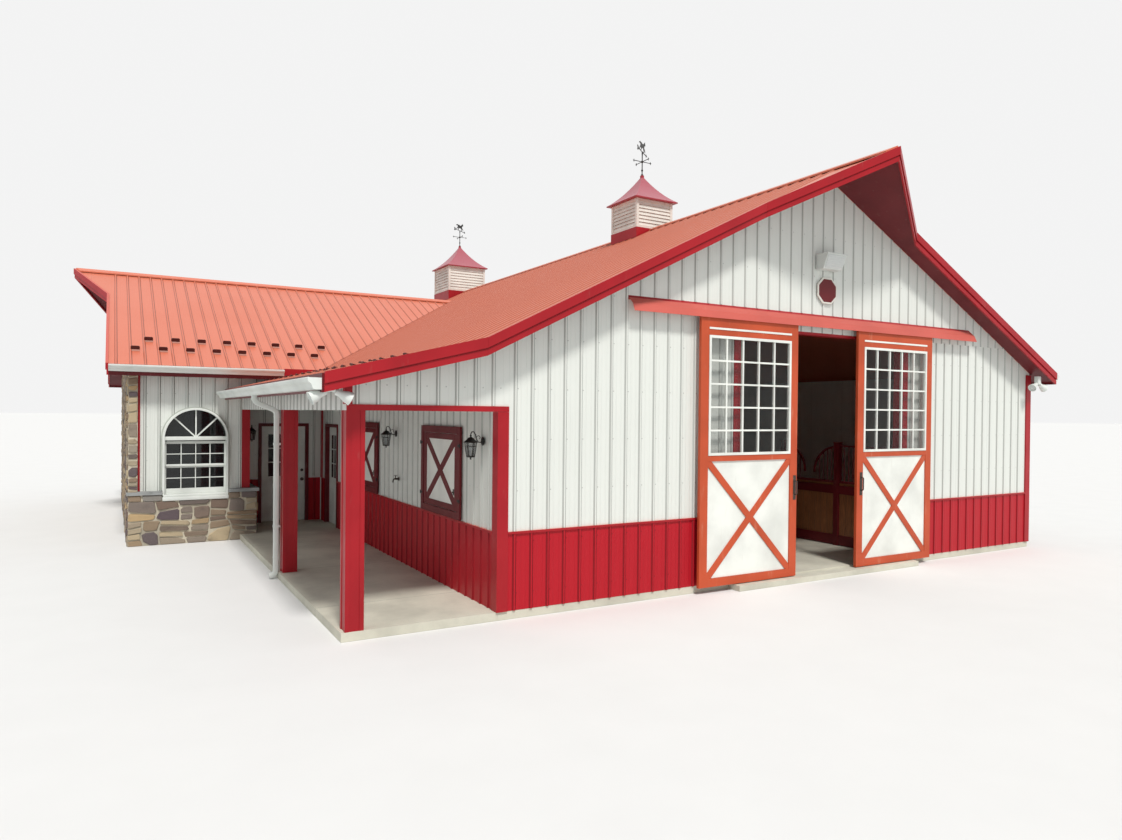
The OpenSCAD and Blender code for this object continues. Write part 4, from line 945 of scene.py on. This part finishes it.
def add_gutter(bm, start, way, reach, out):
    """A rolled gutter, open at the top, with a cap at each end and straps across it."""
    place = basis(start, out, Z, way)
    verts = [bm.verts.new(place @ Vector((x, y, 0))) for x, y in GUTTER_PROFILE]
    edges = [bm.edges.new(pair) for pair in zip(verts, verts[1:])]
    made = ops.extrude_edge_only(bm, edges=edges)["geom"]
    ops.translate(bm, verts=pick(made, BMVert), vec=way * reach)
    ops.solidify(bm, geom=pick(made, BMFace), thickness=0.003)
    cap = [(x * 1.03, y * 1.02) for x, y in GUTTER_PROFILE[:-2]]
    for shift in (-0.002, reach - 0.002):
        add_plate(bm, cap, 0.004, shifted(place, 0, 0, shift))
    straps = max(2, round(reach / STRAP_PITCH))
    for i in range(straps):
        add_plate(bm, rectangle(0.002, -0.008, 0.12, -0.012), 0.024,
                  shifted(place, 0, 0, (i + 0.5) * reach / straps))


def add_spout(bm):
    """A rounded tube with two elbows, a foot, joints and two straps."""
    y, x_out, x_in = 3.5875, -2.172, -1.862
    line = [(x_out, y, 2.692), (x_out, y, 2.58), (x_in, y, 2.452), (x_in, y, 0.068),
            (-1.952, y, 0.05)]
    outline = [(sx * (0.029 - cx), sy * (0.037 - cy))
               for sx, sy, order in ((1, 1, 1), (-1, 1, -1), (-1, -1, 1), (1, -1, -1))
               for cx, cy in ((0.0, 0.012), (0.0035, 0.0035), (0.012, 0.0))[::order]]
    add_tube(bm, outline, rounded(line, 0.062), Y)
    for x, z in ((x_out, 2.6), (x_in, 2.36), (x_in, 1.35), (x_in, 0.3)):
        add_box(bm, (x - 0.04, y - 0.032, z), (x + 0.04, y + 0.032, z + 0.022), 0.004)
    for z in (1.95, 0.75):
        add_box(bm, (x_in - 0.042, y - 0.034, z), (x_in + 0.056, y + 0.034, z + 0.034), 0.003)


class BARN_OT_gutters(Operator):
    """Hang the gutters with their caps and straps, and the downspout of the porch"""

    bl_idname = "barn.gutters"
    bl_label = "Gutters"

    def execute(self, context):
        bm, spout = new_bmesh(), new_bmesh()
        for run in GUTTER_RUNS:
            add_gutter(bm, *run)
        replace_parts(piece("gutter_runs", bm, "gutter"), "gutters")
        add_spout(spout)
        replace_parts(piece("porch_downspout", spout, "gutter", smooth=40),
                    "downspout")
        return {"FINISHED"}


# Lamps and plaque

BELL = ((0, -0.008), (0.028, -0.006), (0.033, 0.004), (0.034, 0.05), (0.046, 0.076),
        (0.058, 0.11), (0.063, 0.146), (0.066, 0.15), (0.066, 0.156), (0.061, 0.157),
        (0.056, 0.148), (0.05, 0.12), (0, 0.112))
EIGHT_SIDES = ((-1, -0.435), (-1, 0.435), (-0.435, 1), (0.435, 1), (1, 0.435), (1, -0.435),
               (0.435, -1), (-0.435, -1))
LENS = ((0, 0.15), (0.028, 0.147), (0.0535, 0.138), (0.0525, 0.13), (0, 0.13))


def add_flood_lamps(bm, glass, x, z, top):
    """Two bells that part from a box under the eave."""
    add_box(bm, (x - 0.045, -0.24, z), (x + 0.045, -0.16, top), 0.006)
    for side in (-1, 1):
        way = Vector((side * 0.9, -0.04, -0.43)).normalized()
        neck = Vector((x + side * 0.028, -0.205, z + 0.012))
        add_rod(bm, neck - way * 0.01, neck + way * 0.045, 0.016)
        place = Matrix.Translation(neck + way * 0.03) @ aimed(way) @ Matrix.Scale(1.08, 4)
        add_turned(bm, BELL, place, 28)
        add_turned(glass, LENS, place, 28)


def add_wall_light(bm, glass):
    """A wedge that leans out towards its top, under a thin hood, with a ribbed lens."""
    add_plate(bm, [(-0.018, 4.675), (-0.018, 4.893), (-0.245, 4.893), (-0.16, 4.675)], 0.41,
              on_wall((5.29, 0, 0), X), 0.006, 2)
    add_box(bm, (5.278, -0.262, 4.89), (5.712, -0.018, 4.906), 0.005)
    lean = Vector((0, -0.085, 0.218)).normalized()
    front = shifted(basis((5.29, -0.16, 4.675), X, lean, X.cross(lean)), 0, 0, -0.002)
    add_plate(glass, rectangle(0.022, 0.02, 0.388, 0.216), 0.01, front, 0.003, 2)
    for i in range(1, 6):
        low = 0.196 / 6 * i + 0.016
        add_plate(glass, rectangle(0.026, low, 0.384, low + 0.008), 0.013, front, 0.003, 2)


class BARN_OT_lamps(Operator):
    """Fix the twin flood lamps, the light and the bare plaque on the front"""

    bl_idname = "barn.lamps"
    bl_label = "Lamps and plaque"

    def execute(self, context):
        bm, glass = new_bmesh(), new_bmesh()
        for x, z, top in ((-2.004, 2.655, 2.722), (11.085, 3.085, 3.235)):
            add_flood_lamps(bm, glass, x, z, top)
        add_wall_light(bm, glass)
        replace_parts(piece("flood_lamps", bm, "gutter", smooth=35), "floodlights")
        piece("lamp_lenses", glass, "lamp glass", smooth=35)
        face = on_wall((5.527, -0.017, 4.372), -Y)
        for name, wide, tall, depth, soft, finish, slot in (
                ("plaque_edge", 0.212, 0.2, 0.02, 0.005, "louvre", "white_sash"),
                ("plaque_field", 0.186, 0.174, 0.024, 0.004, "maroon", "maroon_trim")):
            bm = new_bmesh()
            add_plate(bm, [(wide * x, tall * y) for x, y in EIGHT_SIDES], depth, face, soft, 2)
            piece(name, bm, finish)
        return {"FINISHED"}


def add_lantern(bm, glass, candles, place):
    """Wall plate, arm, roof, six bars, floor ring and finial: Y runs out of the wall."""
    hung = shifted(place, 0, 0.164, 0)
    side = place.to_3x3() @ X
    add_turned(bm, [(0, 0), (0.052, 0), (0.054, 0.006), (0.04, 0.014), (0.016, 0.02),
                    (0, 0.021)], shifted(place, 0, 0, 0.22) @ Matrix.Rotation(-QUARTER, 4, "X"))
    arm = ((0.012, 0.22), (0.04, 0.205), (0.075, 0.215), (0.092, 0.25), (0.1, 0.3),
           (0.125, 0.335), (0.15, 0.335), (0.164, 0.31), (0.164, 0.285))
    curl = [(0.06 + 0.03 * cos(a) * (1 - a / 9), 0.262 + 0.03 * sin(a) * (1 - a / 9))
            for a in (i * 0.45 - 1.2 for i in range(13))]
    for line, radius, sides in ((arm, 0.007, 8), (curl, 0.0045, 6)):
        add_bar(bm, [place @ Vector((0, y, z)) for y, z in line], side, radius, sides)
    add_turned(bm, [(0, 0.205), (0.086, 0.205), (0.088, 0.211), (0.07, 0.226), (0.048, 0.244),
                    (0.034, 0.262), (0.014, 0.27), (0.008, 0.278), (0.013, 0.288),
                    (0.008, 0.298), (0, 0.3)], hung)
    add_turned(bm, [(0, 0.028), (0.05, 0.028), (0.054, 0.034), (0.054, 0.044), (0, 0.046)], hung)
    add_turned(bm, [(0, -0.004), (0.008, 0.0), (0.012, 0.01), (0.006, 0.018), (0.02, 0.028),
                    (0, 0.029)], hung, 16)
    for i in range(6):
        way = Vector((cos(tau * i / 6), sin(tau * i / 6), 0))
        add_rod(bm, hung @ (way * 0.05 + Z * 0.04), hung @ (way * 0.074 + Z * 0.208), 0.005, 6)
    add_turned(bm, [(0.0695, 0.158), (0.0735, 0.158), (0.0745, 0.164), (0.0705, 0.164),
                    (0.0695, 0.158)], hung, 6)
    add_turned(glass, [(0.046, 0.044), (0.048, 0.044), (0.071, 0.206), (0.069, 0.206),
                       (0.046, 0.044)], hung, 6)
    add_turned(candles, [(0, 0.044), (0.012, 0.044), (0.012, 0.11), (0.016, 0.122),
                         (0.012, 0.142), (0.004, 0.158), (0, 0.16)], hung, 12)


class BARN_OT_lanterns(Operator):
    """Hang the porch lanterns on their scroll arms"""

    bl_idname = "barn.lanterns"
    bl_label = "Lanterns"

    def execute(self, context):
        bm, glass, candles = new_bmesh(), new_bmesh(), new_bmesh()
        for spot, out in (((-0.016, 0.407, 1.885), -X), ((-0.016, 3.74, 1.885), -X),
                          ((-1.444, 8.884, 1.815), -Y)):
            add_lantern(bm, glass, candles, basis(spot, Z.cross(out), out, Z))
        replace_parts(piece("lantern_cages", bm, "iron", smooth=40), "porch_lanterns")
        piece("lantern_panes", glass, "lantern glass")
        piece("lantern_candles", candles, "lamp glass", smooth=40)
        return {"FINISHED"}


# Doors


def add_pull(bm, x):
    """A long plate with a bowed handle."""
    add_box(bm, (x - 0.03, -0.135, 1.215), (x + 0.03, -0.129, 1.575), 0.0025)
    line = rounded([(x, -0.133, 1.29), (x, -0.178, 1.3), (x, -0.178, 1.49),
                    (x, -0.133, 1.5)], 0.018)
    add_bar(bm, line, X, 0.009, 10)
    for z in (1.235, 1.555):
        add_rod(bm, (x, -0.131, z), (x, -0.138, z), 0.006, 8)


def glaze(body, place):
    """Nine panes in the upper part of an entry door."""
    bm = new_bmesh()
    add_plate(bm, rectangle(0.152, 1.062, 0.752, 1.948), 0.004, shifted(place, 0, 0, -0.011))
    piece(body + "_panes", bm, "shade-painted glass", body)
    bm = new_bmesh()
    face = shifted(place, 0, 0, -0.008)
    for i in (1, 2):
        x, z = 0.15 + 0.604 / 3 * i, 1.06 + 0.89 / 3 * i
        add_plate(bm, rectangle(x - 0.009, 1.062, x + 0.009, 1.948), 0.008, face, 0.002)
        add_plate(bm, rectangle(0.152, z - 0.009, 0.752, z + 0.009), 0.0075, face, 0.002)
    piece(body + "_bars", bm, "sash", body)


def add_lock(bm, place):
    """A knob on its rose, with a bolt above it."""
    knob, bolt = (shifted(place, 0.838, z, 0) for z in (0.985, 1.18))
    add_turned(bm, [(0, -0.001), (0.034, -0.001), (0.034, 0.003), (0.018, 0.008), (0.012, 0.014),
                    (0.012, 0.03), (0.026, 0.04), (0.03, 0.052), (0.024, 0.064),
                    (0, 0.067)], knob)
    add_turned(bm, [(0, -0.001), (0.03, -0.001), (0.03, 0.01), (0.024, 0.016), (0, 0.017)],
               bolt)
    add_plate(bm, rectangle(-0.005, -0.016, 0.005, 0.016), 0.014, shifted(bolt, 0, 0, 0.014),
              0.002)


class BARN_OT_door_fittings(Operator):
    """Fit pulls, locks and glazing to the doors"""

    bl_idname = "barn.door_fittings"
    bl_label = "Door fittings"

    def execute(self, context):
        for body, x in (("left_door", 4.765), ("right_door", 6.235)):
            bm = new_bmesh()
            add_pull(bm, x)
            piece(body + "_pull", bm, "bronze", body, 35)
        for body, place in (("wing_entry", on_wall((-1.234, 8.96, 0), -Y)),
                            ("side_entry", on_wall((0.06, 8.412, 0), -X))):
            glaze(body, place)
            bm = new_bmesh()
            add_lock(bm, place)
            piece(body + "_lock", bm, "bronze", body, 35)
        return {"FINISHED"}


# Wall fittings


def add_fascia():
    """The wing's eave board above the porch roof."""
    bm = new_bmesh()
    add_plate(bm, [(-1.085, 3.099), (-0.48, 3.25), (-0.48, 3.258), (-1.085, 3.258)], 0.018,
              on_wall((0, 7.3125, 0), -Y))
    piece("wing_eave_board", bm, "trim")


def arch(radius, y, foot=0.99):
    """A line up one side of the arched window, round its head and down the other side."""
    turn = [pi * i / 40 for i in range(41)]
    head = [(WINDOW_X - radius * cos(a), y, WINDOW_SPRING + radius * sin(a)) for a in turn]
    return [(WINDOW_X - radius, y, foot)] + head + [(WINDOW_X + radius, y, foot)]


def add_casing():
    """A folded channel round the arched window, its casing, fan bars, transom and sill."""
    bm = new_bmesh()
    add_tube(bm, [(-0.016, -0.01), (0.01, -0.01), (0.01, 0.012), (-0.016, 0.012)],
             arch(0.566, 7.612), Y)
    piece("window_channel", bm, "channel", smooth=30)
    bm = new_bmesh()
    add_tube(bm, [(-0.08, -0.0185), (0.06, -0.0185), (0.06, 0.0185), (-0.068, 0.0185),
                  (-0.08, 0.008)], arch(0.5385, 7.58, 0.88), Y)
    for half, front, low, top, soft in ((0.522, 7.53, 1.889, 1.958, 0.006),
                                        (0.555, 7.452, 0.793, 0.862, 0.01),
                                        (0.545, 7.478, 0.862, 0.902, 0.008)):
        add_box(bm, (WINDOW_X - half, front, low), (WINDOW_X + half, 7.64, top), soft)
    start = Vector((WINDOW_X, 7.6, 1.945))
    for turn in (-45, 0, 45):
        way = Vector((sin(radians(turn)), 0, cos(radians(turn))))
        add_tube(bm, rectangle(-0.022, -0.012, 0.022, 0.012),
                 [start, start + way * (0.525 - 0.02 * abs(turn) / 45)], Y)
    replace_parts(piece("window_casing", bm, "casing", smooth=30),
                "arched_window_frame")


def add_sashes():
    """The upper and the lower sash, each with a bar across and three upright."""
    bm = new_bmesh()
    left, right, stile = WINDOW_X - 0.522, WINDOW_X + 0.522, 0.034
    for low, top, y, foot, head in ((1.411, 1.872, 7.612, 0.036, 0.048),
                                    (0.902, 1.447, 7.64, 0.098, 0.066)):
        add_frame(bm, 0, (left, y - 0.016, low), (right, y + 0.014, top), stile, foot, head)
        middle = (low + foot + top - head) / 2
        add_box(bm, (left + stile, y - 0.006, middle - 0.008),
                (right - stile, y + 0.006, middle + 0.008), 0.002)
        for i in (-1, 0, 1):
            bar = WINDOW_X + i * 0.244
            add_box(bm, (bar - 0.0085, y - 0.0065, low + foot),
                    (bar + 0.0085, y + 0.0065, top - head), 0.002)
    piece("window_sashes", bm, "casing")


def add_brace(bm, y0, y1, z0, z1, flip):
    """A board from corner to corner of a shutter, cut to the opening."""
    reach = Vector((y1 - y0, z1 - z0))
    side = Vector((reach.y, -reach.x)).normalized() * 0.052
    a, b = Vector((y0, z0 if flip > 0 else z1)), Vector((y1, z1 if flip > 0 else z0))
    turn = Vector((side.x, side.y * flip))
    board = [(-p.x, p.y) for p in (a + turn, b + turn, b - turn, a - turn)]
    for point, normal in (((-y0, 0), (1, 0)), ((-y1, 0), (-1, 0)),
                          ((0, z0), (0, -1)), ((0, z1), (0, 1))):
        board = clip(board, point, normal)
    add_plate(bm, board, 0.0185 if flip > 0 else 0.0175, on_wall((SHUTTER_X, 0, 0), -X), 0.002)


def add_shutter(frames, fields, iron, near, far):
    """A framed shutter with crossed boards, strap hinges and a hasp."""
    low, top = 1.054, 2.265
    add_box(fields, (-0.03, near + 0.09, low + 0.09), (-0.0185, far - 0.09, top - 0.09))
    for depth, inset, wide, tall in ((0.033, 0.0, 0.094, 0.094), (0.023, 0.098, 0.098, 0.08)):
        add_frame(frames, 1, (SHUTTER_X - depth, near + inset, low + inset),
                  (SHUTTER_X, far - inset, top - inset), wide, tall, tall)
    for flip in (1, -1):
        add_brace(frames, near + 0.196, far - 0.196, low + 0.178, top - 0.178, flip)
    for z in (1.3, 2.02):
        for y, way in ((near, 1), (far, -1)):
            a, b = sorted((y - way * 0.02, y + way * 0.075))
            pin = y - way * 0.004
            add_box(iron, (-0.0545, a, z - 0.016), (-0.0505, b, z + 0.016), 0.0012)
            add_rod(iron, (-0.0555, pin, z - 0.026), (-0.0555, pin, z + 0.026), 0.006, 8)
    add_box(iron, (-0.0445, near + 0.205, 1.36), (-0.0405, near + 0.235, 1.44), 0.0015)
    add_rod(iron, (-0.042, near + 0.22, 1.4), (-0.06, near + 0.22, 1.4), 0.009, 10)


def add_tap():
    """A garden tap on the porch wall."""
    y, z = 3.6, 1.395
    stem = Vector((-0.068, y, z + 0.05))
    bm = new_bmesh()
    add_turned(bm, [(0, 0), (0.03, 0), (0.03, 0.005), (0.014, 0.01), (0.013, 0.06),
                    (0, 0.062)], on_wall((-0.016, y, z), -X), 16)
    add_bar(bm, rounded([(-0.06, y, z), (-0.1, y, z), (-0.112, y, z - 0.055)], 0.02), Y,
            0.011, 10)
    add_rod(bm, (-0.068, y, z), stem, 0.007, 10)
    add_turned(bm, [(0.016, -0.004), (0.026, -0.004), (0.026, 0.004), (0.016, 0.004),
                    (0.016, -0.004)], Matrix.Translation(stem), 20)
    for way in (Y, X):
        add_rod(bm, stem - way * 0.018, stem + way * 0.018, 0.003, 6)
    piece("porch_tap", bm, "bronze", smooth=35)


class BARN_OT_wall_fittings(Operator):
    """Add the wing's eave board, the arched window, the shutters and the tap"""

    bl_idname = "barn.wall_fittings"
    bl_label = "Wall fittings"

    def execute(self, context):
        add_fascia()
        add_casing()
        add_sashes()
        frames, fields, iron = new_bmesh(), new_bmesh(), new_bmesh()
        for near, far in ((1.06, 2.5), (4.66, 6.1)):
            add_shutter(frames, fields, iron, near, far)
        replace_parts(piece("shutter_frames", frames, "maroon"), "shutter_windows")
        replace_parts(piece("shutter_fields", fields, "sash"), "shutter_panels")
        piece("shutter_hardware", iron, "iron", smooth=35)
        add_tap()
        return {"FINISHED"}


class BARN_PT_panel(Panel):
    """The barn's sizes, colours and steps"""

    bl_label = "Horse Barn"
    bl_space_type = "VIEW_3D"
    bl_region_type = "UI"
    bl_category = "Barn"

    def draw(self, context):
        scene = context.scene
        for group in (scene.barn_sizes, scene.barn_colours):
            box = self.layout.box()
            for key in type(group).__annotations__:
                box.prop(group, key)
        for step in STEPS:
            self.layout.operator(step.bl_idname)


STEPS = (BARN_OT_stage, BARN_OT_finish_frame, BARN_OT_fieldstone, BARN_OT_snow_guards,
         BARN_OT_gutters, BARN_OT_lamps, BARN_OT_lanterns, BARN_OT_door_fittings,
         BARN_OT_wall_fittings)
CLASSES = (BarnColours, BarnSizes, *STEPS, BARN_PT_panel)


def register():
    for cls in CLASSES:
        bpy.utils.register_class(cls)
    bpy.types.Scene.barn_sizes = PointerProperty(type=BarnSizes)
    bpy.types.Scene.barn_colours = PointerProperty(type=BarnColours)


def unregister():
    del bpy.types.Scene.barn_colours
    del bpy.types.Scene.barn_sizes
    for cls in reversed(CLASSES):
        bpy.utils.unregister_class(cls)


def main():
    register()
    bpy.context.scene.view_settings.view_transform = "Standard"
    for step in STEPS:
        group, name = step.bl_idname.split(".")
        getattr(getattr(bpy.ops, group), name)()


if __name__ == "__main__":
    main()
